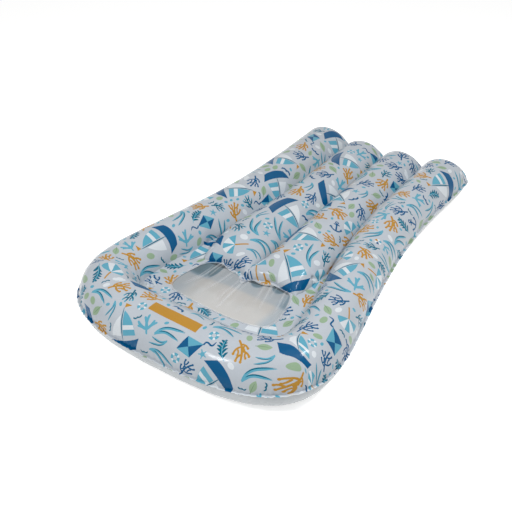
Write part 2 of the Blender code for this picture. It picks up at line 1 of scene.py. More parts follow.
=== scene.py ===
"""Looks of the pool air mattress: printed film, plain film, clear window and valves.

The films follow the part's own plan in metres. Each is laid out flat first, as it was printed and
cut, so that the print, the folds and the welds all have their place in one flat pattern, and then
every point is moved to where it lies on the blown-up mattress.
"""
from math import asin, cos, pi, radians, sin

import bpy
import numpy as np
from mathutils import Matrix, Vector
from mathutils.bvhtree import BVHTree
from mathutils.geometry import delaunay_2d_cdt

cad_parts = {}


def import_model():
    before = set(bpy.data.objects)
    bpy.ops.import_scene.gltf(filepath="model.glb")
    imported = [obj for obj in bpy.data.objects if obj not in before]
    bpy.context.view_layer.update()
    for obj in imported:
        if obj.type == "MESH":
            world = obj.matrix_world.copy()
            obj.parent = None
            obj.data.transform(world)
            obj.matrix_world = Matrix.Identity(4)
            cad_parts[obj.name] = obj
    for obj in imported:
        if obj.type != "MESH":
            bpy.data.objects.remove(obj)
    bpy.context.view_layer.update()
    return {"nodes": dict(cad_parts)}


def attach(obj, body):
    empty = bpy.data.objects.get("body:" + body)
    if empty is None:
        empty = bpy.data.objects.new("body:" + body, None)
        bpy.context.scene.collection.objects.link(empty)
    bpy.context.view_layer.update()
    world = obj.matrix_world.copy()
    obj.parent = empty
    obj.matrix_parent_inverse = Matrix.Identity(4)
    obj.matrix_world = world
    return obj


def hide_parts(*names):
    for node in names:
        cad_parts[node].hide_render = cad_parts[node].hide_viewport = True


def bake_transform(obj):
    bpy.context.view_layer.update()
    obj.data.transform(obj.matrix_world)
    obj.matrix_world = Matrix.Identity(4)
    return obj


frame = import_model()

# Sizes of the part
LENGTH, FLANGE, VALLEY_WELD = 1.212, 0.006, 0.005
FILM, GAP, FLOOR_SQUASH = 0.0003, 0.0003, 0.003
OUTER_HEIGHT, FOOT_HEIGHT, INNER_HEIGHT = 0.150, 0.140, 0.121
FOOT_TUBE, HEAD_TUBE = 0.145, 0.159
HEAD_END, FOOT_END = -LENGTH / 2, LENGTH / 2
WELD_PLANE = OUTER_HEIGHT / 2 - FLOOR_SQUASH
FACE = GAP / 2 + FILM
NEAR = VALLEY_WELD / 2

# The outer tube from the foot on: the mattress's width, the place along it, the tube's width and height
OUTER_TUBE = [
    (0.578, FOOT_END - FLANGE - FOOT_TUBE / 2, FOOT_TUBE, FOOT_HEIGHT),
    (0.559, FOOT_END - 0.233, 0.135, OUTER_HEIGHT),
    (0.575, HEAD_END + 0.697, 0.137, OUTER_HEIGHT),
    (0.680, HEAD_END + 0.347, 0.133, OUTER_HEIGHT),
    (0.691, HEAD_END + 0.154, 0.144, OUTER_HEIGHT),
]

# The inner tubes: setback at the foot, where their heads start to sink, part and end, and those heads' form
INNER_SETBACK = 0.007
SLOPE_START, VALLEY_END, TUBE_END = HEAD_END + 0.531, HEAD_END + 0.461, HEAD_END + 0.372
SCALLOP, CORNER_SWEEP = 0.016, 0.005
SADDLE, SADDLE_RUN = 0.8, 0.5
WINDOW_WIDTH, WINDOW_LAP = 0.288, 0.005

# Rounded foot ends: powers of their curves, and the blunt tip that closes them
END_FULLNESS, END_SQUARENESS, FLANGE_SQUARENESS = 2.4, 6.0, 4.5
TIP_WIDTH, TIP_STEPS = 0.45, 20

# Valves
VALVE_TILT = radians(35)
PAD_RADIUS, PAD_SINK, VALVE_FLANGE_THICKNESS = 0.0195, 0.0012, 0.0012
LIP_RADIUS, LIP_WALL, SLEEVE_WALL = 0.012, 0.001, 0.0006
STEM_RIM_RADIUS, STEM_RIM_THICKNESS = 0.0062, 0.0012
BEAD_RADIUS, BEAD_DEPTH, BEAD_THICKNESS = 0.0052, 0.0085, 0.001
PLUG_HEAD_THICKNESS = 0.0016
STRAP_THICKNESS, STRAP_WIDTH, STRAP_REACH = 0.0007, 0.0028, 0.0012

# Fineness of the films and of the print's outlines
STEP, COLUMNS, CROWDING = 0.0034, 56, 0.4
BEND_WEIGHT, ROUTE_SAMPLES = 0.11, 1500
OUTLINE_STEP = 0.008
END_SAMPLES, SLOPE_SAMPLES = 400, 800
TINY = 1e-6

# How far two tubes press together over a valley, between which heights, from which share of their
# fullness on, and over which length that starts
PRESS, PRESS_GAP = 0.0042, 0.0002
PRESS_LOW, PRESS_HIGH = 0.006, 0.035
PRESS_FULLNESS = 0.6, 0.95
RING_START, INNER_START = 0.06, 0.05

chance = np.random.default_rng(11)
layout = np.random.default_rng(5)


# Plan of the tubes, as in the part

def spline(stations, values, where):
    """A natural spline through values at rising stations."""
    count, steps = len(stations), np.diff(stations)
    system, right = np.eye(count), np.zeros(values.shape)
    for i in range(1, count - 1):
        system[i, i - 1:i + 2] = steps[i - 1], 2 * (steps[i - 1] + steps[i]), steps[i]
        right[i] = 6 * ((values[i + 1] - values[i]) / steps[i] - (values[i] - values[i - 1]) / steps[i - 1])
    bends = np.linalg.solve(system, right)
    k = np.clip(np.searchsorted(stations, where, side="right") - 1, 0, count - 2)
    step = steps[k][:, None]
    a = (stations[k + 1] - where)[:, None] / step
    c = 1 - a
    curved = ((a**3 - a) * bends[k] + (c**3 - c) * bends[k + 1]) * step**2 / 6
    return a * values[k] + c * values[k + 1] + curved


def run_of(points):
    """Length along a line of points, from its first."""
    return np.concatenate([[0], np.cumsum(np.linalg.norm(np.diff(points, axis=0), axis=1))])


def unit(vectors):
    return vectors / np.maximum(np.linalg.norm(vectors, axis=-1, keepdims=True), 1e-12)


def left_of(ahead):
    """Directions in the plane, turned a quarter to the left."""
    return np.stack([-ahead[..., 1], ahead[..., 0]], axis=-1)


def cross(a, b):
    return a[..., 0] * b[..., 1] - a[..., 1] * b[..., 0]


def smooth(low, high, value):
    t = np.clip((value - low) / (high - low), 0, 1)
    return t * t * (3 - 2 * t)


def outer_stations():
    """Middle, outward side, half width and half height of the outer tube from foot to head."""
    half = [(width / 2 - FLANGE - tube / 2, y, tube / 2, high / 2) for width, y, tube, high in OUTER_TUBE]
    half.append((0.0, HEAD_END + FLANGE + HEAD_TUBE / 2, HEAD_TUBE / 2, OUTER_HEIGHT / 2))
    knots = np.array(half + [(-x, y, a, b) for x, y, a, b in half[-2::-1]])
    stations = run_of(knots[:, :2])
    route = spline(stations, knots, np.linspace(0, stations[-1] / 2, ROUTE_SAMPLES))
    lengths = run_of(route[:, :2])
    heading = np.gradient(route[:, :2], lengths, axis=0)
    heading[-1] = (-1, 0)
    turned_by = np.unwrap(np.arctan2(heading[:, 1], heading[:, 0]))
    effort = lengths + BEND_WEIGHT * np.abs(turned_by - turned_by[0])
    s = np.interp(np.linspace(0, effort[-1], int(effort[-1] / STEP) + 1), effort, lengths)
    x, y, wide, high, *ahead = (np.interp(s, lengths, row) for row in (*route.T, *heading.T))
    return np.column_stack([x, y]), left_of(unit(np.column_stack(ahead))), wide, high


def half_perimeter(a, b):
    return pi / 2 * (3 * (a + b) - np.sqrt((3 * a + b) * (a + 3 * b)))


def rounded_end(half_width, half_height):
    """Angles over a rounded tube end from its tip back, and the film's length up to each."""
    fine = np.linspace(0, pi / 2, END_SAMPLES)
    reach = half_width * np.sin(fine) ** (2 / END_FULLNESS)
    run = run_of(np.column_stack([reach, half_height * np.cos(fine)]))
    places = np.linspace(run[-1], 0, int(run[-1] / STEP) + 1)[:-1]
    return np.interp(places, run, fine), places


def end_shares(angle, squareness=END_SQUARENESS):
    """Shares of the width, reach and height on a rounded tube end."""
    reach = np.sin(angle) ** (2 / END_FULLNESS)
    width = np.clip(1 - reach**squareness, 0, 1) ** (1 / squareness)
    return np.maximum(width, TIP_WIDTH), reach, np.cos(angle)


def window_far_edge(across):
    return TUBE_END + SCALLOP * np.sin(pi * across) ** 2 + CORNER_SWEEP * across**5


def turns(columns):
    """Angles over a tube from its outer seam to its inner one, closer together near the seams."""
    s = np.linspace(0, 1, columns + 1)
    return pi * (s - CROWDING * np.sin(2 * pi * s) / (2 * pi))


TURN = turns(COLUMNS)
middle, outward, half_width, half_height = outer_stations()
valley = middle - outward * (half_width + NEAR)[:, None]
INNER_FOOT = middle[0, 1] - INNER_SETBACK


def valley_x(y):
    return np.interp(-y, -valley[:, 1], valley[:, 0])


# The flat pattern: across a tube it is as wide as the film over the tube

NARROW_AT, WIDE_AT, LEAST_VALLEY = -0.43, -0.02, 0.05


def widening(y):
    """How much wider the flat pattern is than the plan at the valleys."""
    edge = valley_x(y) - NEAR
    extra = NEAR + half_perimeter((edge - NEAR) / 2, INNER_HEIGHT / 2) - edge
    return 1 + extra * smooth(NARROW_AT, WIDE_AT, y) / np.maximum(valley_x(y), LEAST_VALLEY)


def flat_of(x, y):
    return np.stack([x * widening(y), y + 0 * x], axis=-1)


def tube_rows(centre, across, half_wide, half_high, flat_centre, flat_across, flat_wide, tight, sides):
    """Rows of a tube from its rounded foot end: x, y, height over the weld, flat x and flat y.

    Its film bulges over the valleys on the given sides, where the next tube presses against it; tight is
    the stretch along the mattress over which that starts.
    """
    angle, lengths = rounded_end(half_wide[0], half_high[0])
    width, reach, high = end_shares(angle)
    count = len(angle)
    shrink, sink = (np.concatenate([share, np.ones(len(centre))]) for share in (width, high))

    def led(rows):
        """The rows, with the first repeated for the rounded end."""
        return np.concatenate([np.repeat(rows[:1], count, 0), rows])[:, None]

    def strip(line, beside, wide, far, share):
        line = led(line)
        line[:count, 0] += np.outer(far * reach, left_of(beside[0]))
        return line + led(beside) * (share * (led(wide) * shrink[:, None]))[..., None]

    plan = strip(centre, across, half_wide, half_wide[0], np.cos(TURN))
    flat = strip(flat_centre, flat_across, flat_wide, lengths[0], 0.5 - TURN / pi)
    lag = (lengths - lengths[0] * reach)[:, None] * np.sin(TURN) ** 2
    flat[:count] += lag[..., None] * left_of(flat_across[0])
    height = led(half_high) * sink[:, None] * np.sin(TURN)
    free = NEAR + led(half_wide) - led(half_wide) * np.abs(np.cos(TURN)) - PRESS_GAP
    press = np.minimum(PRESS, free) * smooth(0, PRESS_LOW, height)
    press = press * (1 - smooth(PRESS_LOW, PRESS_HIGH, height)) * np.where(TURN < pi / 2, sides[0], -sides[1])
    press = press * smooth(*PRESS_FULLNESS, shrink * smooth(*tight, plan[:, 0, 1]))[:, None]
    return np.concatenate([plan + press[..., None] * led(across), height[..., None], flat], axis=2)


def ring_rows():
    flat_valley = flat_of(valley[:, 0], valley[:, 1])
    ahead = unit(np.gradient(flat_valley, axis=0))
    ahead[-1] = (-1, 0)
    wide = half_perimeter(half_width, half_height)
    return tube_rows(middle, outward, half_width, half_height,
                     flat_valley + left_of(ahead) * (NEAR + wide / 2)[:, None], left_of(ahead), wide,
                     (VALLEY_END, VALLEY_END + RING_START), (0, 1))


def inner_rows():
    y = np.linspace(INNER_FOOT, SLOPE_START, int((INNER_FOOT - SLOPE_START) / STEP) + 1)
    edge, flat_edge = valley_x(y) - NEAR, valley_x(y) * widening(y) - NEAR
    across = np.repeat([(1.0, 0.0)], len(y), 0)
    rows = tube_rows(np.column_stack([(edge + NEAR) / 2, y]), across, (edge - NEAR) / 2,
                     np.full(len(y), INNER_HEIGHT / 2), np.column_stack([(flat_edge + NEAR) / 2, y]),
                     across, flat_edge - NEAR, (SLOPE_START, SLOPE_START + INNER_START), (1, 1))
    return np.concatenate([rows, slope_rows(edge[-1], INNER_HEIGHT / 2)])


def slope_rows(edge, high):
    """The head of an inner tube, which narrows and sinks to the window's scalloped edge."""
    fine = np.linspace(0, 1, SLOPE_SAMPLES)
    ridge = (TUBE_END - SLOPE_START) * np.sin(fine * pi / 2), high * np.cos(fine * pi / 2)
    run = run_of(np.column_stack(ridge))
    at_valley = asin((SLOPE_START - VALLEY_END) / (SLOPE_START - TUBE_END)) * 2 / pi
    bend = np.interp(at_valley, fine, run)
    stops = [np.linspace(a, b, int((b - a) / STEP) + 1)[1:] for a, b in ((0, bend), (bend, run[-1]))]
    share = np.interp(np.concatenate(stops), run, fine)[:, None]
    developed = np.interp(share, fine, run / run[-1])
    across = (1 + np.cos(TURN)) / 2
    end = window_far_edge(across)
    inner = np.where(share <= at_valley + TINY, NEAR, 0.0)
    narrowing = 1 - (1 - WINDOW_WIDTH / 2 / edge) * share**2 * (3 - 2 * share)
    x = inner + (edge * narrowing - inner) * across
    y = SLOPE_START + (end - SLOPE_START) * np.sin(share * pi / 2)
    saddle = SADDLE * smooth(0, SADDLE_RUN, share - at_valley)
    arch = np.where(TURN > pi / 2, 1 - (1 - np.sin(TURN)) * (1 - saddle), np.sin(TURN))
    drop = np.cos(share * pi / 2)
    height = high * np.clip(drop, 0, None) * arch
    height[-1] = 0
    flank = edge * narrowing * widening(y[:, :1])
    flat_x = inner + (flank - inner) * (drop * (1 - TURN / pi) + (1 - drop) * across)
    flat_y = y + (SLOPE_START + (end - SLOPE_START) * developed - y) * np.sin(TURN) ** 2
    return np.stack([x, y, height, flat_x, flat_y], axis=2)


# Rows of the outer and of the right inner tube, and the row where the rounded end of each is over
RING, INNER = ring_rows(), inner_rows()
RING_FIRST = len(RING) - len(middle)
INNER_FIRST = int(np.argmin(np.abs(INNER[:60, 0, 1] - INNER_FOOT)))


# Outlines in the weld plane

OPENING = [
    (-0.139, -0.361), (-0.1465, -0.3285), (-0.145, -0.301), (-0.137, -0.275), (-0.1245, -0.2486),
    (-0.1077, -0.2333), (-0.0785, -0.2288), (-0.055, -0.2361), (-0.0300, -0.2385), (-0.0140, -0.2480),
    (0.003, -0.2640), (0.0125, -0.2430), (0.0227, -0.2362), (0.0448, -0.2393), (0.063, -0.2376),
    (0.0795, -0.2274), (0.1023, -0.229), (0.1234, -0.2325), (0.1344, -0.2420), (0.1425, -0.2600),
    (0.1485, -0.2870), (0.1534, -0.3166), (0.1545, -0.3480), (0.1453, -0.3667), (0.128, -0.3771),
    (0.1007, -0.3846), (0.0621, -0.3885), (0.0186, -0.3866), (-0.0277, -0.382), (-0.0736, -0.380),
    (-0.1078, -0.3767), (-0.1293, -0.3715),
]
NOTCH_AT, NOTCH_X = 10, 0.004
NEAR_EDGE, FAR_EDGE, FAR_LIFT = -0.386, -0.234, 0.005
OPENING_STEP, OPENING_SETBACK = 0.0035, 0.004


def closed_curve(points):
    """Evenly spaced points on a smooth closed line through the given ones."""
    looped = np.array(points[-4:] + points + points[:5])
    stations = run_of(looped)
    start, end = stations[4], stations[4 + len(points)]
    return spline(stations, looped, np.linspace(start, end, int((end - start) / OPENING_STEP) + 1)[:-1])


def held_back(line, by):
    """A line kept that far short of the inner tubes' heads."""
    far = window_far_edge(np.clip(np.abs(line[:, 0]) / (WINDOW_WIDTH / 2), 0, 1)) - by
    return np.column_stack([line[:, 0], np.minimum(line[:, 1], far)])


# Edge of the opening in the printed film, clockwise; a notch points in between the inner tubes
HOLE = held_back(closed_curve(OPENING), OPENING_SETBACK)


def clear_line():
    """Edge of the clear film, which laps over the opening's edge."""
    line = closed_curve(OPENING[:NOTCH_AT] + OPENING[NOTCH_AT + 1:])
    ahead = unit(np.roll(line, -1, 0) - np.roll(line, 1, 0))
    return held_back(line + left_of(ahead) * WINDOW_LAP, OPENING_SETBACK / 4)


def inside(points, outline):
    """Which points lie in a closed outline."""
    x, y = points[:, 0], points[:, 1]
    found = np.zeros(len(points), bool)
    for (x1, y1), (x2, y2) in zip(outline, np.roll(outline, -1, 0)):
        if y1 != y2:
            found ^= ((y1 > y) != (y2 > y)) & (x < x1 + (y - y1) / (y2 - y1) * (x2 - x1))
    return found


def away_from(points, line):
    """Each point's distance to the nearest point of a line."""
    return np.min(np.hypot(points[:, None, 0] - line[:, 0], points[:, None, 1] - line[:, 1]), axis=1)


def spots_over(low, high, step):
    """Evenly spaced points over a rectangle."""
    x, y = np.meshgrid(*(np.arange(low[i], high[i], step[i]) for i in range(2)))
    return np.column_stack([x.ravel(), y.ravel()])


def end_line(centre, across, half_wide, half_high, flat_centre, flat_wide):
    """Edge of the flange round a tube's end, from its outer to its inner side: x, y, flat x, flat y."""
    angle, _ = rounded_end(half_wide, INNER_HEIGHT / 2)
    film = rounded_end(half_wide, half_high)[1][0]
    width, reach, _ = end_shares(angle[::-1], FLANGE_SQUARENESS)
    tip = np.linspace(TIP_WIDTH, -TIP_WIDTH, TIP_STEPS)[1:-1]
    width = np.concatenate([width, tip, -width[::-1]])[:, None]
    reach = np.concatenate([reach, np.ones(TIP_STEPS - 2), reach[::-1]])[:, None]
    return np.column_stack([
        point + across * (wide + FLANGE) * width + left_of(across) * (long + FLANGE) * reach
        for wide, long, point in ((half_wide, half_wide, centre), (flat_wide / 2, film, flat_centre))])


def first_crossing(p, q):
    """Index and share along each of two lines where they first meet."""
    u, v = np.diff(p, axis=0)[:, None], np.diff(q, axis=0)
    gap = q[:-1] - p[:-1, None]
    area = cross(u, v)
    area = np.where(np.abs(area) < 1e-15, 1e-15, area)
    t, w = cross(gap, v) / area, cross(gap, u) / area
    i, j = np.argwhere((t >= 0) & (t <= 1) & (w >= 0) & (w <= 1))[0]
    return i, t[i, j], j, w[i, j]


def between(line, i, share):
    return line[i] + (line[i + 1] - line[i]) * share


def rim_line():
    """The flange's outer edge on the right half, from the head's middle to the foot's: as end_line."""
    outer_seam, inner_seam = (RING[RING_FIRST:, k][:, [0, 1, 3, 4]] for k in (0, -1))
    out = np.column_stack([outward, unit(outer_seam[:, 2:] - inner_seam[:, 2:])]) * FLANGE
    end = end_line(middle[0], outward[0], half_width[0], half_height[0],
                   (outer_seam[0, 2:] + inner_seam[0, 2:]) / 2, half_perimeter(half_width, half_height)[0])
    outer = np.concatenate([(outer_seam + out)[:0:-1], end, (inner_seam - out)[1:]])
    edge, near = (INNER[INNER_FIRST, k] for k in (0, -1))
    half = (edge[0] - near[0]) / 2
    inner = end_line(np.array([near[0] + half, INNER_FOOT]), np.array([1.0, 0.0]), half, INNER_HEIGHT / 2,
                     np.array([(edge[3] + near[3]) / 2, INNER_FOOT]), edge[3] - near[3])
    inner = np.concatenate([[inner[0] - (0, half, 0, half)], inner])
    i, t, j, w = first_crossing(outer[:, :2], inner[:, :2])
    meet = between(outer, i, t)
    meet[2:] = (meet[2:] + between(inner, j, w)[2:]) / 2
    k = np.nonzero(inner[:, 0] < 0)[0][0]
    last = between(inner, k - 1, inner[k - 1, 0] / (inner[k - 1, 0] - inner[k, 0]))
    line = np.concatenate([outer[:i + 1], [meet], inner[j + 1:k], [last]])
    line[0, [0, 2]] = line[-1, [0, 2]] = 0
    return line


RIM = rim_line()


# Folds of the film: each runs in from a seam, deep at the seam and fading inwards

# Kinds of folds: spacing, depth, length and width, each its least and its most
BEND_FOLDS = (0.010, 0.026), (0.0010, 0.0034), (0.020, 0.060), (0.0024, 0.0042)
SIDE_FOLDS = (0.016, 0.042), (0.0006, 0.0020), (0.014, 0.036), (0.0026, 0.0044)
DECK_FOLDS = (0.013, 0.030), (0.0008, 0.0020), (0.018, 0.044), (0.0026, 0.0045)
TUBE_FOLDS = (0.030, 0.060), (0.0004, 0.0009), (0.012, 0.024), (0.004, 0.006)
END_FOLDS = (0.009, 0.019), (0.0007, 0.0020), (0.020, 0.048), (0.0024, 0.0040)
FRONT_FOLDS = (0.009, 0.020), (0.0008, 0.0022), (0.022, 0.060), (0.0024, 0.0042)
FLANK_FOLDS = (0.012, 0.026), (0.0007, 0.0020), (0.020, 0.045), (0.0026, 0.0045)

# Fans of folds at the head's corners and the waist: place, direction, spread and number; then their
# depth, length and width, and how far they are scattered
FANS = [(0.196, -0.405, -0.7, 0.9, 7), (0.178, -0.16, 0.1, 0.7, 5)]
FAN_FOLDS = (0.0022, 0.0042), (0.05, 0.095), (0.0030, 0.0048)
FAN_SCATTER = 0.005

# The deep creases at the head's corners: place, direction, depth and length
CREASES = [(0.160, -0.432, 0.42, 0.0080, 0.110), (0.168, -0.430, 0.06, 0.0066, 0.095),
           (0.190, -0.385, 0.76, 0.0056, 0.085), (0.150, -0.440, -0.45, 0.0036, 0.060),
           (0.176, -0.410, 0.24, 0.0062, 0.090)]
CREASE_WIDTH, CREASE_DEPTHS = 0.0041, (0.8, 1.1)
CREASE_TILT, CREASE_SCATTER = 0.12, 0.003
NOTCH_FOLD = 0.0016, 0.06, 0.0030
BEND_END, FOLD_TILT = -0.30, 0.16

# A fold's form: where it starts, how it fades and opens along its length, and its raised sides
FOLD_START, FOLD_FADE, FOLD_OPENING = -0.012, 1.4, 0.7
SIDES_RISE, SIDES_SPREAD = 0.42, 2.4

folds = []


def fold_along(line, inwards, spacing, depth, length, width):
    """Scatters folds along a flat line; each number is a pair, its least and its most."""
    run = run_of(line)
    at = chance.uniform(0, spacing[1])
    while at < run[-1]:
        origin, way = (np.array([np.interp(at, run, rows[:, i]) for i in range(2)])
                       for rows in (line, inwards))
        tilt = chance.normal(0, FOLD_TILT)
        way = np.array([way[0] * cos(tilt) - way[1] * sin(tilt), way[0] * sin(tilt) + way[1] * cos(tilt)])
        sizes = [chance.uniform(*pair) for pair in (depth, length, width)]
        folds.append((origin, way / np.hypot(*way), *sizes))
        at += chance.uniform(*spacing)


def fold_lines():
    """Flat lines of the right half along which folds start, with their ways in and their kinds."""
    rim, weld = RING[RING_FIRST:, 0], RING[RING_FIRST:, -1]
    out = unit(rim[:, 3:] - weld[:, 3:] + TINY)
    bend, deck = rim[:, 1] < BEND_END, weld[:, 1] < VALLEY_END + 0.02
    yield rim[bend], -out[bend], BEND_FOLDS
    yield rim[~bend], -out[~bend], SIDE_FOLDS
    yield weld[deck], out[deck], DECK_FOLDS
    yield weld[~deck], out[~deck], TUBE_FOLDS
    for rows, count in ((RING, RING_FIRST), (INNER, INNER_FIRST)):
        loop = np.concatenate([rows[count:0:-1, 0], rows[0], rows[1:count, -1]])
        yield loop, unit((rows[count, 0, 3:] + rows[count, -1, 3:]) / 2 - loop[:, 3:]), END_FOLDS
    slope = INNER[:, 0, 1] < SLOPE_START
    for line, way, kind in ((INNER[~slope, 0], (-1, 0), TUBE_FOLDS), (INNER[~slope, -1], (1, 0), TUBE_FOLDS),
                            (INNER[-1], (0, 1), FRONT_FOLDS), (INNER[slope, 0], (-0.8, 0.6), FLANK_FOLDS)):
        yield line, np.repeat([way], len(line), 0), kind


def scatter_folds():
    for mirror in (1, -1):
        for line, inwards, kind in fold_lines():
            fold_along(line[:, 3:] * (mirror, 1), inwards * (mirror, 1), *kind)
        for x, y, angle, spread, count in FANS:
            for k in range(count):
                way = (k / (count - 1) - 0.5) * 2 * spread + angle
                place = np.array([x * mirror, y]) + chance.normal(0, FAN_SCATTER, 2)
                folds.append((place, np.array([mirror * cos(way), sin(way)]),
                              *(chance.uniform(*pair) for pair in FAN_FOLDS)))
        for x, y, angle, depth, length in CREASES:
            way = angle + chance.normal(0, CREASE_TILT)
            place = np.array([x * mirror, y]) + chance.normal(0, CREASE_SCATTER, 2)
            folds.append((place, np.array([mirror * cos(way), sin(way)]),
                          depth * chance.uniform(*CREASE_DEPTHS), length, CREASE_WIDTH))
    for side in (-1, 1):
        place, way = np.array([NOTCH_X + 0.007 * side, -0.252]), np.array([0.25 * side, 0.968])
        folds.append((place, way, *NOTCH_FOLD))


WAVE_HEIGHT, WAVE_PITCH, WAVE_COUNT = 0.0001, (55, 130), 9
waves = [[chance.uniform(*pair) for pair in (WAVE_PITCH, (0, 2 * pi), (0, 2 * pi))]
         for _ in range(WAVE_COUNT)]
scatter_folds()


def relief(flat):
    """How far the film stands out of its smooth form at flat points."""
    x, y = flat[..., 0].ravel(), flat[..., 1].ravel()
    total = sum(WAVE_HEIGHT * np.sin(k * (x * cos(a) + y * sin(a)) + phase) for k, a, phase in waves)
    for origin, way, depth, length, width in folds:
        dx, dy = x - origin[0], y - origin[1]
        near = np.nonzero((np.abs(dx) < length + 0.01) & (np.abs(dy) < length + 0.01))[0]
        along = dx[near] * way[0] + dy[near] * way[1]
        beside = dx[near] * way[1] - dy[near] * way[0]
        fade = np.clip(1 - np.clip(along, 0, None) / length, 0, 1) ** FOLD_FADE * (along > FOLD_START)
        q = beside / (width * (1 + FOLD_OPENING * np.clip(along / length, 0, 1)))
        total[near] -= depth * fade * (np.exp(-q**2) - SIDES_RISE * np.exp(-((q / SIDES_SPREAD) ** 2)))
    return total.reshape(flat.shape[:-1])


def deck_sway(x, y):
    """Slow rise and fall of the unblown film round the window and the welds next to it."""
    around = smooth(0.0, 0.06, 0.235 - np.abs(x)) * smooth(-0.47, -0.42, y) * (1 - smooth(-0.20, -0.10, y))
    lift = FAR_LIFT * smooth(-0.30, FAR_EDGE, y) * (1 - smooth(FAR_EDGE, FAR_EDGE + 0.06, y))
    lift = lift * smooth(0, 0.05, 0.165 - np.abs(x))
    lift = lift * (1 + 0.35 * np.cos(86 * x + 0.5)) * (1 - 0.75 * np.exp(-(((x - NOTCH_X) / 0.014) ** 2)))
    ripples = 0.0016 * np.sin(31 * x + 2.1) * np.cos(24 * y + 0.6) + 0.0011 * np.sin(57 * y - 22 * x)
    return lift + around * ripples


# Sheets made from nodes in the flat pattern

# Patches of a film, and the mark of an outline round a hole; the first outline is the flange's edge
FLAT, ON_RING, ON_INNER, ON_PAD = range(4)
OPEN, EDGE = -1, 0
PAD_MARGIN, PAD_FIT, PAD_COUNT = 0.0025, 0.034, 36
RIM_SWAY, RIM_GAP = 0.00035, 0.00003
HOLE_CALM, FLOOR_CALM, VALVE_CALM = (0.006, 0.018), 0.012, 0.02
# Nodes of a row are left out by halves where they lie closer than this share of a step
THINNED_AT, MOST_STRIDE = 0.62, 16


def grid_normals(points, side):
    """Normals of a grid of points."""
    normals = np.cross(np.gradient(points, axis=0), np.gradient(points, axis=1))
    return unit(-normals if np.sum(normals[:, normals.shape[1] // 2, 2]) * side < 0 else normals)


class Sheet:
    """Nodes of a film: flat points, places and, for each patch that meets there, normals."""

    def __init__(self):
        self.flat, self.places, self.normals = [], [], []
        self.count = 0
        self.outlines, self.patches = [], []

    def add(self, flat, places, patch, normals):
        block = np.zeros((len(flat), 4, 3))
        block[:, patch] = normals
        for rows, more in ((self.flat, flat), (self.places, places), (self.normals, block)):
            rows.append(more)
        self.count += len(flat)
        return np.arange(self.count - len(flat), self.count)

    def outline(self, indices, patch):
        self.outlines.append(list(dict.fromkeys(int(i) for i in indices)))
        self.patches.append(patch)

    def closed(self):
        self.flat, self.places, self.normals = map(np.concatenate, (self.flat, self.places, self.normals))
        return self


def add_pad(sheet, valve, points, normals, flat, patch):
    """A valve's flat pad with its hole; returns which nodes of the tube's film it stands for."""
    turn, centre = np.array(valve.to_3x3()), np.array(valve.translation)
    local = (points.reshape(-1, 3) - centre) @ turn
    away = np.hypot(local[:, 0], local[:, 1])
    away[np.abs(local[:, 2]) > PAD_FIT] = 1.0
    fit = away < PAD_FIT

    def terms(x, y):
        return np.column_stack([np.ones_like(x), x, y, x * x, x * y, y * y])

    to_flat, *_ = np.linalg.lstsq(terms(local[fit, 0], local[fit, 1]), flat.reshape(-1, 2)[fit], rcond=None)
    angles = np.arange(PAD_COUNT) * 2 * pi / PAD_COUNT
    rims = (LIP_RADIUS + GAP, OPEN), ((LIP_RADIUS + PAD_RADIUS) / 2, None), (PAD_RADIUS, ON_PAD)
    for radius, rim in rims:
        x, y = radius * np.cos(angles), radius * np.sin(angles)
        places = np.column_stack([x, y, np.zeros(PAD_COUNT)]) @ turn.T + centre
        nodes = sheet.add(terms(x, y) @ to_flat, places, ON_PAD, turn[:, 2])
        if rim is not None:
            sheet.outline(nodes, rim)
    near = np.argmin(np.linalg.norm(places[:, None] - points.reshape(1, -1, 3), axis=2), axis=1)
    sheet.normals[-1][:, patch] = normals.reshape(-1, 3)[near]
    return (away < PAD_RADIUS + PAD_MARGIN).reshape(points.shape[:2])


def add_tube(sheet, rows, side, mirror, patch, valve):
    """Adds one tube's film, which is smooth round its valve."""
    flat = rows[..., 3:] * (mirror, 1.0)
    points = np.dstack([rows[..., :2] * (mirror, 1.0), WELD_PLANE + side * (FACE + rows[..., 2])])
    points[..., 2] += deck_sway(points[..., 0], points[..., 1])
    calm = smooth(0.0, FLOOR_CALM, points[..., 2]) if side < 0 else 1.0
    if valve is not None:
        away = np.linalg.norm(points - np.array(valve.translation), axis=2)
        calm = calm * smooth(PAD_RADIUS, PAD_RADIUS + VALVE_CALM, away)
    points = points + grid_normals(points, side) * (relief(flat) * calm)[..., None]
    points[..., 2] = np.maximum(points[..., 2], 0.0)
    normals = grid_normals(points, side)
    count, wide = flat.shape[:2]
    spacing = np.linalg.norm(flat[:, 0] - flat[:, -1], axis=1) / (wide - 1)
    keep = np.ones((count, wide), bool)
    for i in range(count):
        stride = 1
        while spacing[i] * stride < STEP * THINNED_AT and stride < MOST_STRIDE:
            stride *= 2
        keep[i, 1:-1] = np.arange(1, wide - 1) % stride == 0
    if valve is not None:
        keep &= ~add_pad(sheet, valve, points, normals, flat, patch)
    index = np.full((count, wide), -1)
    index[keep] = sheet.add(flat[keep], points[keep], patch, normals[keep])
    border = np.zeros((count, wide), bool)
    border[:, [0, -1]] = border[0] = True
    border[-1] |= patch == ON_INNER
    sheet.normals[-1][border[keep], FLAT] = (0, 0, side)
    loop = np.concatenate([index[::-1, 0], index[0], index[1:, -1], index[-1, -2:0:-1]])
    sheet.outline(loop[loop >= 0], patch)


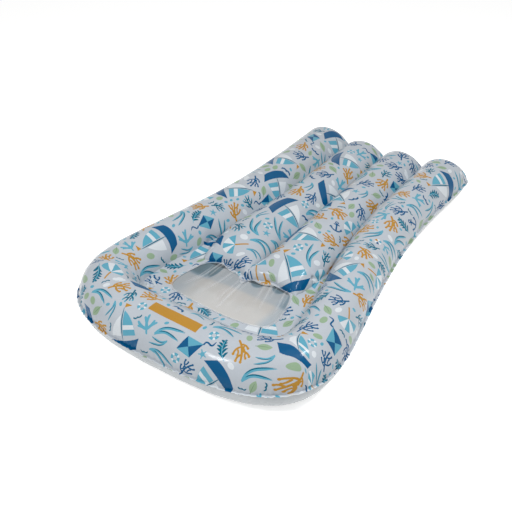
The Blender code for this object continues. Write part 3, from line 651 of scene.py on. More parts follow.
def add_flats(sheet, side):
    """The flange's edge, and the unblown film round the window."""
    up = np.array([0, 0, 1.0]) * side
    z = WELD_PLANE + side * FACE
    places, flat = RIM[:, :2], RIM[:, 2:]
    out = -left_of(unit(np.gradient(places, axis=0)))
    out[0], out[-1] = (0, -1), (0, 1)
    run = run_of(places)
    halves = []
    for mirror in (1, -1):
        height = WELD_PLANE + side * RIM_GAP
        height = height + RIM_SWAY * (np.sin(run * 190 + mirror) + 0.7 * np.sin(run * 83 + 2 * mirror))
        lines = flat * (mirror, 1.0)
        moved = (places + out * relief(lines)[:, None]) * (mirror, 1.0)
        moved[[0, -1], 0] = 0
        halves.append(np.column_stack([lines, moved, height]))
    rim = np.concatenate([halves[0], halves[1][-2:0:-1]])
    sheet.outline(sheet.add(rim[:, :2], rim[:, 2:], FLAT, up), FLAT)
    edge = np.column_stack([HOLE, z + deck_sway(HOLE[:, 0], HOLE[:, 1])])
    sheet.outline(sheet.add(flat_of(HOLE[:, 0], HOLE[:, 1]), edge, FLAT, up), OPEN)
    ring = np.concatenate([RING[::-1, 0, :2], RING[1:, -1, :2]])
    inner = np.concatenate([INNER[::-1, 0, :2], INNER[1:, -1, :2], INNER[-1, ::-1, :2]])
    spots = spots_over((0, -0.45), (0.23, -0.08), (STEP, STEP))
    spots = spots[~inside(spots, ring) & ~inside(spots, inner) & ~inside(spots, HOLE)]
    away = away_from(spots, np.concatenate([ring, inner, HOLE]))
    spots, away = spots[away > STEP * 0.55], away[away > STEP * 0.55]
    for mirror in (1, -1):
        chosen = spots[:, 0] > (-1 if mirror > 0 else TINY)
        points = spots[chosen] * (mirror, 1)
        calm = smooth(*HOLE_CALM, away[chosen])

        def height(shift_x, shift_y):
            px, py = points[:, 0] + shift_x, points[:, 1] + shift_y
            return deck_sway(px, py) + calm * relief(flat_of(px, py)) * side

        step = 0.001
        slope_x = (height(step, 0) - height(-step, 0)) / (2 * step)
        slope_y = (height(0, step) - height(0, -step)) / (2 * step)
        normals = unit(np.column_stack([-slope_x, -slope_y, np.ones(len(points))])) * side
        raised = np.column_stack([points, z + height(0, 0)])
        sheet.add(flat_of(points[:, 0], points[:, 1]), raised, FLAT, normals)


def triangulated(flat, outlines):
    """Points, triangles, the sources of each point and the outlines round each triangle."""
    faces = []
    for outline in outlines:
        p = flat[outline]
        q = np.roll(p, -1, 0)
        faces.append(list(outline) if np.sum(cross(p, q)) > 0 else list(outline)[::-1])
    points, _, triangles, sources, _, within = delaunay_2d_cdt(
        [Vector(p) for p in flat.tolist()], [], faces, 0, TINY)
    return np.array([p[:] for p in points]), np.array(triangles), sources, within


def cut_out(sheet, flat, outlines):
    """The film from flat points: points, triangles, places, normals, patches, and more for the print.

    The rest is which points are nodes of the sheet and the outlines round each triangle. Places and
    normals of points that are no nodes are left at zero.
    """
    flat, tris, sources, within = triangulated(flat, outlines)
    places, normals, known = np.zeros((len(flat), 3)), np.zeros((len(flat), 4, 3)), np.zeros(len(flat), bool)
    for i, source in enumerate(sources):
        mine = [s for s in source if s < sheet.count]
        if mine:
            known[i] = True
            places[i], normals[i] = sheet.places[mine].mean(0), sheet.normals[mine].sum(0)
    patch = np.full(len(within), OPEN)
    for i, around in enumerate(within):
        here = [sheet.patches[o] for o in around if o < len(sheet.patches)]
        if EDGE in around and OPEN not in here:
            patch[i] = max(here)
    kept = np.nonzero(patch != OPEN)[0]
    return flat, tris[kept], places, unit(normals), patch[kept], known, [within[i] for i in kept]


def shares_in(points, corners):
    """Barycentric shares of points in flat triangles."""
    a, b, c = corners[:, 0], corners[:, 1], corners[:, 2]
    area = cross(b - a, c - a)
    v, w = cross(points - a, c - a) / area, cross(b - a, points - a) / area
    shares = np.clip(np.column_stack([1 - v - w, v, w]), 0, 1)
    return shares / shares.sum(1, keepdims=True)


def placed(name, data):
    obj = bpy.data.objects.new(name, data)
    bpy.context.scene.collection.objects.link(obj)
    return obj


def mesh_object(name, points, faces):
    """A smooth mesh in the scene."""
    mesh = bpy.data.meshes.new(name)
    mesh.from_pydata(points, [], faces)
    mesh.polygons.foreach_set("use_smooth", np.ones(len(faces), bool))
    mesh.update()
    return placed(name, mesh)


def paint(obj, name, colours):
    """Gives each corner of each triangle its colour."""
    attribute = obj.data.color_attributes.new(name, "FLOAT_COLOR", "CORNER")
    attribute.data.foreach_set("color", colours.astype(np.float32).ravel())


def film_mesh(name, sheet, prints=()):
    """The mesh of a film. prints are (ink, closed flat outline), the later ones on top."""
    film = cut_out(sheet, sheet.flat, sheet.outlines)
    base_flat, base_tris, base_places, base_normals, base_patch = film[:5]
    tree = BVHTree.FromPolygons([(x, y, 0.0) for x, y in base_flat.tolist()], base_tris.tolist())

    def looked_up(points):
        found = np.array([tree.find_nearest((x, y, 0.0))[2] for x, y in points.tolist()])
        corners = base_tris[found]
        return corners, shares_in(points, base_flat[corners]), base_patch[found]

    if prints:
        ends = sheet.count + np.cumsum([0] + [len(outline) for _, outline in prints])
        outlines = sheet.outlines + [list(range(*pair)) for pair in zip(ends, ends[1:])]
        film = cut_out(sheet, np.concatenate([sheet.flat] + [outline for _, outline in prints]), outlines)
    flat, tris, places, normals, patch, known, within = film
    if prints:
        new = np.unique(tris[~known[tris]])
        corners, shares, _ = looked_up(flat[new])
        places[new] = np.einsum("ij,ijk->ik", shares, base_places[corners])
    corner_normals = normals[tris, patch[:, None]]
    rows, columns = np.nonzero(np.linalg.norm(corner_normals, axis=2) < 0.5)
    if len(rows):
        spots = flat[tris[rows, columns]]
        corners, shares, at = looked_up(spots + (flat[tris].mean(1)[rows] - spots) * 0.06)
        corner_normals[rows, columns] = unit(
            np.einsum("ij,ijk->ik", shares, base_normals[corners, at[:, None]]))
    used, tris = np.unique(tris, return_inverse=True)
    tris, places = tris.reshape(-1, 3), places[used]
    a, b, c = (places[tris[:, i]] for i in range(3))
    if (np.sum(np.cross(b - a, c - a) * corner_normals.mean(1), axis=1) < 0).mean() > 0.5:
        tris, corner_normals = tris[:, ::-1], corner_normals[:, ::-1]
    obj = mesh_object(name, places.tolist(), tris.tolist())
    if prints:
        first = len(sheet.outlines)
        inks = [prints[max(w) - first][0] if w and max(w) >= first else GROUND for w in within]
        paint(obj, "print", np.repeat(np.array(INKS)[inks][:, None], 3, 1))
    obj.data.normals_split_custom_set(corner_normals.reshape(-1, 3).tolist())
    return obj


# The print: a seaside pattern, each picture drawn by formula in metres

def linear(red, green, blue):
    return [(c / 255 / 12.92) if c <= 10 else ((c / 255 + 0.055) / 1.055) ** 2.4 for c in (red, green, blue)]


GROUND, NAVY, TURQUOISE, TEAL, OCHRE, SAGE, PALE, MOSS = range(8)
INKS = [(*linear(*levels), 1) for levels in (
    (190, 197, 205), (0, 87, 135), (96, 168, 192), (4, 104, 131), (187, 138, 52), (150, 176, 146),
    (219, 225, 230), (118, 146, 116))]


def curve(start, end, bend, count=9):
    """Points of a bow from start to end; bend is its sag as a share of its length."""
    start, end = np.array(start, float), np.array(end, float)
    t = np.linspace(0, 1, count)[:, None]
    return start + (end - start) * t + left_of(end - start) * bend * 4 * t * (1 - t)


def stroke(points, width, start=0.35, end=0.35):
    """Outline of a line of that width with rounded ends; start and end are the ends' widths."""
    ahead = unit(np.gradient(points, axis=0))
    t = run_of(points)
    wide = (np.interp(t / t[-1], (0, 0.18, 0.72, 1), (start, 1, 1, end)) * width / 2)[:, None]
    beside = left_of(ahead) * wide
    nose, tail = points[-1] + ahead[-1] * wide[-1] * 0.8, points[0] - ahead[0] * wide[0] * 0.8
    return np.concatenate([[tail], points + beside, [nose], (points - beside)[::-1]])


def bow(ink, start, end, bend, count, *widths):
    """A bowed stroke."""
    return ink, stroke(curve(start, end, bend, count), *widths)


def disc(ink, x, y, radius, count=14, squash=1.0):
    angles = np.arange(count) * 2 * pi / count
    return ink, np.column_stack([x + radius * np.cos(angles), y + radius * squash * np.sin(angles)])


def boat(scale):
    shapes = [
        (NAVY, [*curve((-0.060, 0.006), (0.062, 0.012), -0.06),
                *curve((0.044, -0.022), (-0.040, -0.024), 0.10)]),
        (TURQUOISE, [*curve((0.004, 0.090), (0.050, 0.020), 0.10)[:-1], (0.050, 0.020), (0.004, 0.017)]),
        (PALE, [(0.004, 0.047), (0.040, 0.048), (0.045, 0.036), (0.004, 0.034)]),
        (PALE, [*curve((-0.005, 0.076), (-0.040, 0.018), -0.08), (-0.005, 0.016)]),
        bow(TEAL, (0, 0), (0, 0.098), 0, 9, 0.004),
        (OCHRE, [(0.001, 0.098), (0.022, 0.106), (0.001, 0.113)])]
    return [(ink, np.array(outline) * scale) for ink, outline in shapes]


def frond(ink, rib, size):
    """A feathery leaf with a few broad leaflets."""
    spine = curve((-size / 2, 0), (size / 2, 0), 0.14, 13)
    shapes = []
    for k in (2, 4, 6, 8, 10):
        reach = size * 0.34 * (1 - abs(k / 12 - 0.35) ** 1.5 * 1.4)
        for side in (1, -1):
            tip = spine[k] + np.array([cos(0.8) * reach, side * sin(0.8) * reach])
            shapes.append(bow(ink, spine[k], tip, -side * 0.12, 6, size * 0.105, 0.5, 0.25))
    return shapes + [(ink, stroke(spine[-4:], size * 0.09, 0.6, 0.3)), (rib, stroke(spine, size * 0.045))]


def palm(ink, size):
    """A fan of broad blades on a short stem."""
    base = np.array([-size * 0.30, 0])
    shapes = [bow(ink, (-size * 0.5, 0), base, 0.05, 4, size * 0.10, 0.8, 1)]
    for k in range(6):
        angle = -1.15 + 2.3 * k / 5 + (0.10, -0.06)[k % 2]
        reach = size * (0.74 - 0.16 * abs(angle)) * (1, 0.88)[k % 2]
        tip = base + reach * np.array([cos(angle), sin(angle)])
        shapes.append(bow(ink, base, tip, 0.07 * (-1) ** k, 8, size * 0.135, 0.45, 0.75))
    return shapes


def twig(ink, bud, size, thick):
    """A forked twig with round buds."""
    spine = curve((-size / 2, 0), (size * 0.42, 0.05 * size), 0.10, 15)
    shapes = [(ink, stroke(spine, size * thick, 1, 0.9))]
    for k, side, reach in ((3, 1, 0.36), (5, -1, 0.42), (8, 1, 0.36), (10, -1, 0.32)):
        base = spine[k]
        tip = base + size * reach * np.array([cos(0.9), side * sin(0.9)])
        shapes += [bow(ink, base, tip, side * 0.16, 8, size * thick * 0.9, 1, 0.9),
                   disc(bud, *tip, size * thick * 0.62, 10)]
        if reach > 0.33:
            fork = base + (tip - base) * 0.45
            tip = fork + size * reach * 0.5 * np.array([cos(0.05), side * sin(0.05)])
            shapes += [bow(ink, fork, tip, -side * 0.12, 6, size * thick * 0.8, 1, 0.9),
                       disc(bud, *tip, size * thick * 0.55, 10)]
    return shapes + [disc(bud, *spine[-1], size * thick * 0.65, 10)]


def reeds(size):
    """Two long bent blades, each with a dark edge."""
    shapes = []
    for tip, bend, low in (((0.50, 0.13), 0.15, 0.01), ((0.34, -0.15), 0.17, -0.03)):
        path = curve((-size / 2, low * size), np.array(tip) * size, bend, 13)
        path[:, 1] += size * 0.022 * np.sin(np.linspace(0, 2 * pi, 13))
        shapes += [(TURQUOISE, stroke(path, size * 0.095, 0.35, 0.1)),
                   (TEAL, stroke(path[2:] + (0, size * 0.028), size * 0.038, 0.3, 0.1))]
    return shapes


def anchor(ink, size):
    shapes = [bow(ink, (0, -size * 0.38), (0, size * 0.30), 0, 9, size * 0.11, 1, 1),
              bow(ink, (-size * 0.36, -size * 0.18), (size * 0.36, -size * 0.18), -0.30, 13,
                  size * 0.11, 0.7, 0.7),
              bow(ink, (-size * 0.18, size * 0.20), (size * 0.18, size * 0.20), 0, 5, size * 0.10, 1, 1),
              disc(ink, 0, size * 0.38, size * 0.13, 16), disc(GROUND, 0, size * 0.38, size * 0.055, 12)]
    for side in (-1, 1):
        x, y = side * size * 0.36, -size * 0.16
        shapes.append((ink, np.array([(x - size * 0.12, y - size * 0.02), (x + size * 0.12, y - size * 0.02),
                                      (x + side * size * 0.01, y + size * 0.16)])))
    return shapes


def sun(ink, size, rays):
    shapes = [disc(ink, 0, 0, size * 0.24, 16)]
    for k in range(rays):
        angle = 2 * pi * k / rays
        way = np.array([cos(angle), sin(angle)])
        shapes.append(bow(ink, way * size * 0.20, way * size * 0.5, 0, 4, size * 0.13, 1, 0.3))
    return shapes


def swell(size):
    shapes = []
    for k, row in enumerate((0.15, 0.0, -0.15)):
        x = np.linspace(-0.5 + 0.06 * k, 0.5 - 0.08 * k, 21)
        points = np.column_stack([x, row + 0.045 * np.sin(x * 3 * pi + k)]) * size
        shapes.append(((TURQUOISE, TEAL)[k % 2], stroke(points, size * 0.085, 0.3, 0.3)))
    return shapes


def leaf(ink, rib, size):
    upper = curve((-size / 2, 0), (size / 2, 0), 0.26, 11)
    lower = curve((size / 2, 0), (-size / 2, 0), 0.26, 11)
    return [(ink, np.concatenate([upper, lower[1:-1]])),
            bow(rib, (-size * 0.60, 0), (size * 0.3, 0), 0.02, 7, size * 0.045, 1, 0.3)]


def arc(start, end, count, size):
    angles = np.linspace(start, end, count)
    return np.column_stack([np.cos(angles), np.sin(angles)]) * size / 2


def ring_buoy(size):
    shapes = [disc(TURQUOISE, 0, 0, size / 2, 26)]
    for k in range(4):
        angles = np.linspace(-0.28, 0.28, 5) + k * pi / 2
        rim = np.column_stack([np.cos(angles), np.sin(angles)]) * size / 2 * 0.985
        shapes.append((PALE, np.concatenate([rim, rim[::-1] * 0.50])))
    return shapes + [disc(GROUND, 0, 0, size * 0.21, 16)]


def gull(ink, size):
    return [bow(ink, (-size / 2, size * 0.10), (0, -size * 0.06), -0.26, 9, size * 0.17, 0.1, 0.9),
            bow(ink, (0, -size * 0.06), (size / 2, size * 0.14), -0.26, 9, size * 0.17, 0.9, 0.1),
            disc(ink, 0, -size * 0.05, size * 0.10, 10, 1.2)]


def cloud(ink, size):
    return [disc(ink, x * size, y * size, r * size, 14, 0.85) for x, y, r in (
        (-0.30, -0.02, 0.18), (0.0, 0.07, 0.25), (0.30, -0.03, 0.17),
        (0.14, -0.08, 0.18), (-0.13, -0.09, 0.18))]


def parasol(size):
    shapes = [bow(OCHRE, (0, -size * 0.5), (0, size * 0.25), 0.02, 9, size * 0.07, 1, 1)]
    for k in range(5):
        rim = arc(pi * k / 5, pi * (k + 1) / 5, 6, size)
        shapes.append(((TURQUOISE, PALE)[k % 2], np.concatenate([rim, [(0.0, -0.02 * size)]])))
    return shapes


def kite(size):
    top, right, low, left, mid = (
        np.array(p) * size for p in ((0, 0.34), (0.24, 0.06), (0, -0.30), (-0.24, 0.06), (0, 0.06)))
    tail = np.column_stack([np.sin(np.linspace(0, 7, 17)) * 0.045, np.linspace(-0.30, -0.58, 17)]) * size
    return [(NAVY, np.array([top, mid, right])), (TURQUOISE, np.array([right, mid, low])),
            (NAVY, np.array([low, mid, left])), (TURQUOISE, np.array([left, mid, top])),
            (NAVY, stroke(tail, size * 0.04, 1, 0.4))]


def ball(size):
    shapes = [disc(PALE, 0, 0, size / 2, 22)]
    for k, ink in enumerate((NAVY, TURQUOISE, OCHRE)):
        rim = arc(2 * pi * k / 3, 2 * pi * k / 3 + pi / 3, 7, size)
        shapes.append((ink, np.concatenate([rim, [(0.0, 0.0)]])))
    return shapes


def pebble(ink, size):
    return [disc(ink, 0, 0, size / 2, 16, 0.66)]


# How many of each picture are wanted, the big ones first
PICTURES = [
    (30, boat(0.84)), (18, kite(0.100)), (18, parasol(0.062)), (70, reeds(0.072)),
    (58, twig(OCHRE, OCHRE, 0.060, 0.094)), (62, twig(NAVY, NAVY, 0.056, 0.080)),
    (84, palm(TURQUOISE, 0.050)), (50, frond(TEAL, TURQUOISE, 0.056)), (28, anchor(NAVY, 0.046)),
    (60, twig(TEAL, TURQUOISE, 0.046, 0.090)), (70, reeds(0.050)), (90, leaf(SAGE, MOSS, 0.036)),
    (30, twig(OCHRE, OCHRE, 0.040, 0.100)), (36, swell(0.044)), (40, ring_buoy(0.024)),
    (60, cloud(PALE, 0.036)), (60, gull(NAVY, 0.034)), (70, palm(TURQUOISE, 0.032)),
    (80, pebble(SAGE, 0.024)), (110, sun(TURQUOISE, 0.023, 5)), (20, ball(0.022)),
    (110, leaf(SAGE, MOSS, 0.026)), (110, pebble(PALE, 0.020)), (110, gull(TEAL, 0.022)),
    (150, pebble(TURQUOISE, 0.012)),
]
PRINT_HALF_WIDTH, PRINT_LOW, PRINT_HIGH, PRINT_BORDER = 0.49, -0.74, 0.68, 0.12
TRIES, CELL, PRINT_GAP = 40, 0.0016, 0.0032
PALE_EDGE, PRINT_SIZES = 0.0022, (0.92, 1.08)
PANEL_PLACE, PANEL_SIZE, PANEL_TURN = (0.007, -0.567), (0.138, 0.0275), -0.035


def turned(angle):
    return np.array([[cos(angle), sin(angle)], [-sin(angle), cos(angle)]])


def film_outline(inset):
    """Closed flat outline of the film, drawn in by that much."""
    flat = RIM[:, 2:]
    line = flat + left_of(unit(np.gradient(flat, axis=0))) * inset
    line[[0, -1], 0] = 0
    return np.concatenate([line, (line * (-1, 1))[-2:0:-1]])


def filling(outlines):
    """Points all over a picture, no farther apart than the cells that keep pictures off each other."""
    edge = np.concatenate(outlines)
    spots = spots_over(edge.min(0), edge.max(0), (CELL, CELL))
    return np.concatenate([spots[np.any([inside(spots, outline) for outline in outlines], axis=0)], edge])


def fine_outline(points):
    """An outline with points along its long sides."""
    fine = []
    for p, q in zip(points, np.roll(points, -1, 0)):
        count = max(1, int(np.ceil(np.hypot(*(q - p)) / OUTLINE_STEP)))
        fine += [p + (q - p) * k / count for k in range(count)]
    return np.array(fine)


def laid_out():
    """The whole print as (ink, outline) in the flat pattern, in the order it is printed."""
    corner = np.array([-PRINT_HALF_WIDTH - PRINT_BORDER, PRINT_LOW - PRINT_BORDER])
    size = np.ceil((-2 * corner[0] / CELL, (PRINT_HIGH + PRINT_BORDER - corner[1]) / CELL))
    taken = np.zeros(size.astype(int), bool)
    around = range(-int(PRINT_GAP / CELL), int(PRINT_GAP / CELL) + 1)

    def cells(points):
        return ((points - corner) / CELL).astype(int)

    def take(where):
        for i in around:
            for j in around:
                taken[where[:, 0] + i, where[:, 1] + j] = True

    panel = np.array([(-1, -1), (1, -1), (1, 1), (-1, 1)]) * np.array(PANEL_SIZE) / 2
    panel = panel @ turned(PANEL_TURN) + np.array(PANEL_PLACE)
    take(cells(filling([panel])))
    prints = [(PALE, film_outline(0.0)), (GROUND, film_outline(PALE_EDGE))]
    for wanted, shapes in PICTURES:
        spots = filling([outline for _, outline in shapes])
        done = 0
        for _ in range(wanted * TRIES):
            if done >= wanted:
                break
            angle = layout.uniform(0, 2 * pi)
            turn = turned(angle) * layout.uniform(*PRINT_SIZES)
            place = np.array([layout.uniform(-PRINT_HALF_WIDTH, PRINT_HALF_WIDTH),
                              layout.uniform(PRINT_LOW, PRINT_HIGH)])
            where = cells(spots @ turn + place)
            if not taken[where[:, 0], where[:, 1]].any():
                take(where)
                prints += [(ink, fine_outline(outline @ turn + place)) for ink, outline in shapes]
                done += 1
    return prints + [(OCHRE, fine_outline(panel))]


# Finishes

def material(name):
    made = bpy.data.materials.new(name)
    made.use_nodes = True
    return made, made.node_tree, made.node_tree.nodes["Principled BSDF"]


def feed(tree, target, sockets):
    """Gives each of a node's sockets its value or its link."""
    for name, value in sockets.items():
        if isinstance(value, bpy.types.NodeSocket):
            tree.links.new(value, target.inputs[name])
        else:
            target.inputs[name].default_value = value


def node(tree, kind, sockets=(), **settings):
    """The outputs of a new node."""
    made = tree.nodes.new("ShaderNode" + kind)
    for name, value in settings.items():
        setattr(made, name, value)
    feed(tree, made, dict(sockets))
    return made.outputs


def noise(tree, scale, detail=3.0, stretch=(1, 1, 1)):
    place = node(tree, "Mapping", {"Scale": stretch, "Vector": node(tree, "TexCoord")["Object"]})[0]
    return node(tree, "TexNoise", {"Scale": scale, "Detail": detail, "Vector": place})["Fac"]


def ranged(tree, value, low, high, from_low=0.3, from_high=0.7):
    return node(tree, "MapRange", {"From Min": from_low, "From Max": from_high, "To Min": low, "To Max": high,
                                   "Value": value})["Result"]


def math(tree, operation, *values, **settings):
    return node(tree, "Math", enumerate(values), operation=operation, **settings)[0]


def bumped(tree, surface, layers):
    """Adds bumps, each (height value, distance), one over the other."""
    under = {}
    for value, distance in layers:
        bump = node(tree, "Bump", {"Strength": 1.0, "Distance": distance, "Height": value, **under})
        under = {"Normal": bump["Normal"]}
    feed(tree, surface, under)


def plain(tree, colour):
    source = node(tree, "RGB")[0]
    source.default_value = (*colour, 1)
    return source


def shaded(tree, colour, share):
    return node(tree, "VectorMath", {0: colour, "Scale": share}, operation="SCALE")[0]


def mixed(tree, share, first, second):
    """A colour between two, by a share from nought to one; 6 and 7 are the node's colour sockets."""
    return node(tree, "Mix", {0: share, 6: first, 7: second}, data_type="RGBA")[2]


def film_finish(name, colour, roughness):
    """Glossy film, printed where it has no colour of its own."""
    made, tree, surface = material(name)
    base = plain(tree, colour) if colour else node(tree, "Attribute", attribute_name="print")["Color"]
    mottle = ranged(tree, noise(tree, 9.0, 4.0), 0.965, 1.035)
    fleck = ranged(tree, noise(tree, 420.0, 2.0), 0.975, 1.025)
    feed(tree, surface, {
        "Base Color": shaded(tree, base, math(tree, "MULTIPLY", mottle, fleck)),
        "Roughness": ranged(tree, noise(tree, 26.0), roughness - 0.05, roughness + 0.07),
        "Specular IOR Level": 0.14})
    bumped(tree, surface, [(noise(tree, 55.0, 2.0), 0.00016), (noise(tree, 900.0, 2.0), 0.00003)])
    return made


def window_finish():
    """Clear film, milkier where it turns away; painted highlights on its wrinkles, painted tube shade under
    it.
    """
    made, tree, surface = material("window_film")
    feed(tree, surface, {"Base Color": (0.74, 0.76, 0.78, 1), "Roughness": 0.14})
    bumped(tree, surface, [(noise(tree, 16.0, 1.0, (2.0, 0.4, 1.0)), 0.00012)])
    zones = node(tree, "Attribute", attribute_name="zones")["Color"]
    weld, painted_shade, white = node(tree, "SeparateColor", {0: zones})
    # Painted shade: the share darkens and blues what shows through, most under the tubes' heads; the plain
    # colour is darkened too, for the floor's shade under the mattress
    through = mixed(tree, painted_shade, (0.616, 0.594, 0.568, 1), (0.25, 0.40, 0.53, 1))
    through = mixed(tree, ranged(tree, painted_shade, 0.0, 1.0, 0.45, 1.0), through, (0.13, 0.21, 0.25, 1))
    clear = node(tree, "BsdfTransparent", {"Color": mixed(tree, weld, through, (0.96, 0.96, 0.96, 1))})[0]
    milk = ranged(tree, node(tree, "LayerWeight", {"Blend": 0.35})["Facing"], 0.07, 0.70, 0.34, 0.80)
    # The weld's lap is milkier, and the wrinkles get painted highlights as extra milk
    for share, strength in ((weld, 0.30), (white, 0.36)):
        milk = math(tree, "MULTIPLY_ADD", share, strength, milk, use_clamp=True)
    mix = node(tree, "MixShader", {0: milk, 1: clear, 2: surface.outputs[0]})[0]
    tree.links.new(mix, tree.nodes["Material Output"].inputs["Surface"])
    return made


def valve_finish(name, colour, roughness, glow):
    made, tree, surface = material(name)
    feed(tree, surface, {
        "Base Color": shaded(tree, plain(tree, colour), ranged(tree, noise(tree, 260.0, 4.0), 0.94, 1.03)),
        "Roughness": ranged(tree, noise(tree, 700.0, 2.0), roughness - 0.06, roughness + 0.08),
        "Subsurface Weight": glow, "Subsurface Radius": (0.002, 0.002, 0.002), "Subsurface Scale": 1.0})
    bumped(tree, surface, [(noise(tree, 1500.0, 2.0), 0.00003)])
    return made


# The films

def valve_frame(centre, ahead, half_wide, half_high):
    """Place and turn of a valve under a tube's rounded foot end; its Z leaves the film's outer face."""
    ahead, up = Vector((*ahead, 0)), Vector((0, 0, 1))
    facing = ahead * cos(VALVE_TILT) - up * sin(VALVE_TILT)
    angle = pi / 2 - VALVE_TILT
    place = Vector((*centre, WELD_PLANE - GAP / 2))
    place += ahead * half_wide * sin(angle) ** (2 / END_FULLNESS)
    place.z -= half_high * cos(angle)
    place += facing * (FILM - PAD_SINK)
    sideways = up.cross(facing).normalized()
    turn = Matrix((sideways, facing.cross(sideways), facing)).transposed()
    return Matrix.Translation(place) @ turn.to_4x4()


INNER_HALF = (valley_x(INNER_FOOT) - NEAR - NEAR) / 2
VALVES = {"outer": valve_frame(middle[0], left_of(outward[0]), half_width[0], half_height[0]),
          "inner": valve_frame((-INNER_HALF - NEAR, INNER_FOOT), (0, 1), INNER_HALF, INNER_HEIGHT / 2)}


def film_sheet(side):
    """All nodes of the top film, or of the bottom film, which is drawn coarser and has the valves."""
    sheet = Sheet()
    add_flats(sheet, side)
    for mirror in (1, -1):
        for rows, patch, kind, valve_side in ((RING, ON_RING, "outer", 1), (INNER, ON_INNER, "inner", -1)):
            if side < 0:
                rows = rows[sorted({*range(0, len(rows), 2), len(rows) - 1})][:, ::2]
            valve = VALVES[kind] if side < 0 and mirror == valve_side else None
            add_tube(sheet, rows, side, mirror, patch, valve)
    return sheet.closed()


top = film_mesh("top_film", film_sheet(1), laid_out())
top.data.materials.append(film_finish("printed_film", None, 0.16))
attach(top, "mattress")
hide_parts("top_sheet")

bottom = film_mesh("bottom_film", film_sheet(-1))
bottom.data.materials.append(film_finish("plain_film", linear(205, 210, 214), 0.26))
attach(bottom, "mattress")
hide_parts("bottom_sheet")


# The window: a clear film welded over the opening, with wrinkles that run along the mattress

WINDOW_LOW = WELD_PLANE + FACE + GAP
WINDOW_STEPS = 0.0011, 0.0036

# Each wrinkle: where it leaves the far edge and meets the near one, its depth, width and painted highlight,
# and the part of the window that it crosses, as shares from the near edge
wrinkles = [
    (-0.087, -0.134, 0.0022, 0.0026, 1.00, 0.25, 1.1), (-0.078, -0.112, 0.0016, 0.0022, 0.70, 0.45, 1.1),
    (-0.096, -0.140, 0.0012, 0.0020, 0.55, 0.35, 1.0), (-0.061, -0.088, 0.0008, 0.0030, 0.35, 0.50, 1.1),
    (-0.041, -0.068, 0.0016, 0.0030, 0.75, 0.10, 1.1), (-0.030, -0.050, 0.0009, 0.0022, 0.40, 0.40, 1.1),
    (-0.007, -0.012, 0.0014, 0.0022, 0.60, 0.15, 1.0), (0.003, 0.007, 0.0022, 0.0028, 1.00, 0.05, 1.0),
    (0.014, 0.020, 0.0008, 0.0020, 0.40, 0.45, 1.0), (0.060, 0.083, 0.0012, 0.0040, 0.60, 0.30, 1.1),
    (0.076, 0.108, 0.0016, 0.0030, 0.75, 0.25, 1.1), (0.090, 0.110, 0.0007, 0.0022, 0.35, 0.50, 1.1),
    (0.117, 0.150, 0.0014, 0.0024, 0.70, 0.20, 1.1), (0.128, 0.153, 0.0010, 0.0018, 0.50, 0.40, 1.1),
]
for _ in range(9):
    x, low = chance.uniform(-0.13, 0.14), chance.uniform(0, 0.5)
    wrinkles.append((x, x * 1.15, chance.uniform(0.0003, 0.0008), chance.uniform(0.0020, 0.0040),
                     chance.uniform(0.10, 0.25), low, low + chance.uniform(0.35, 0.6)))


def wrinkle_shapes(x, y):
    """For each wrinkle its depth, painted highlight, and at each point its strength and the distance in
    widths.
    """
    t = np.clip((y - NEAR_EDGE) / (FAR_EDGE - NEAR_EDGE), 0, 1)
    for high, low, depth, width, white, start, stop in wrinkles:
        q = (x - low - (high - low) * t) / (width * (1.6 - 0.6 * t))
        run = np.clip((t - start) / (stop - start), 0, 1)
        yield depth, white, np.sin(pi * run) ** 0.5 if stop <= 1 else smooth(0, 0.7, run), q


def window_height(x, y, edge):
    """Height of the clear film; edge is the distance to the opening's outline, nought beyond it."""
    t = np.clip((y - NEAR_EDGE) / (FAR_EDGE - NEAR_EDGE), 0, 1)
    total = 0.0012 * np.sin(26 * x + 1.0) * np.sin(pi * t) - 0.0010 * np.sin(pi * t)
    for depth, _, strength, q in wrinkle_shapes(x, y):
        total = total + depth * 0.5 * strength * (np.exp(-q * q) - 0.5 * np.exp(-(q / 2) ** 2))
    return WINDOW_LOW + FILM + deck_sway(x, y) + total * smooth(0.0, 0.010, edge)


def painted_wrinkle_highlight(x, y):
    """Painted highlights: how much milkier the film is drawn along its wrinkles."""
    total = sum(white * strength * np.exp(-q * q) for _, white, strength, q in wrinkle_shapes(x, y))
    return np.clip(total, 0, 1)


def painted_tube_shade(x, y):
    """Painted shade under the clear film: a far band with three humps, a band at either end, a faint near
    one.
    """
    far, left = smooth(-0.296, -0.280, y), 1 - smooth(-0.122, -0.080, x)
    painted_shade = 0.34 * far * (1 - 0.4 * np.exp(-(((x - 0.072) / 0.014) ** 2)))
    painted_shade = painted_shade + 0.08 * (1 - smooth(-0.375, -0.31, y))
    painted_shade = painted_shade + 0.30 * left + 0.34 * smooth(-0.300, -0.275, y) * (1 - smooth(-0.088, -0.074, x))
    painted_shade = painted_shade + 0.40 * smooth(0.112, 0.142, x)
    for place, wide, deep in ((-0.084, 0.016, 0.048), (0.040, 0.022, 0.026), (0.098, 0.019, 0.017)):
        low = FAR_EDGE + 0.004 - deep * np.clip(1 - ((x - place) / wide) ** 2, 0, 1) ** 0.5
        painted_shade = painted_shade + 0.55 * smooth(low - 0.006, low + 0.004, y) * (np.abs(x - place) < wide)
    return np.clip(painted_shade, 0, 1)


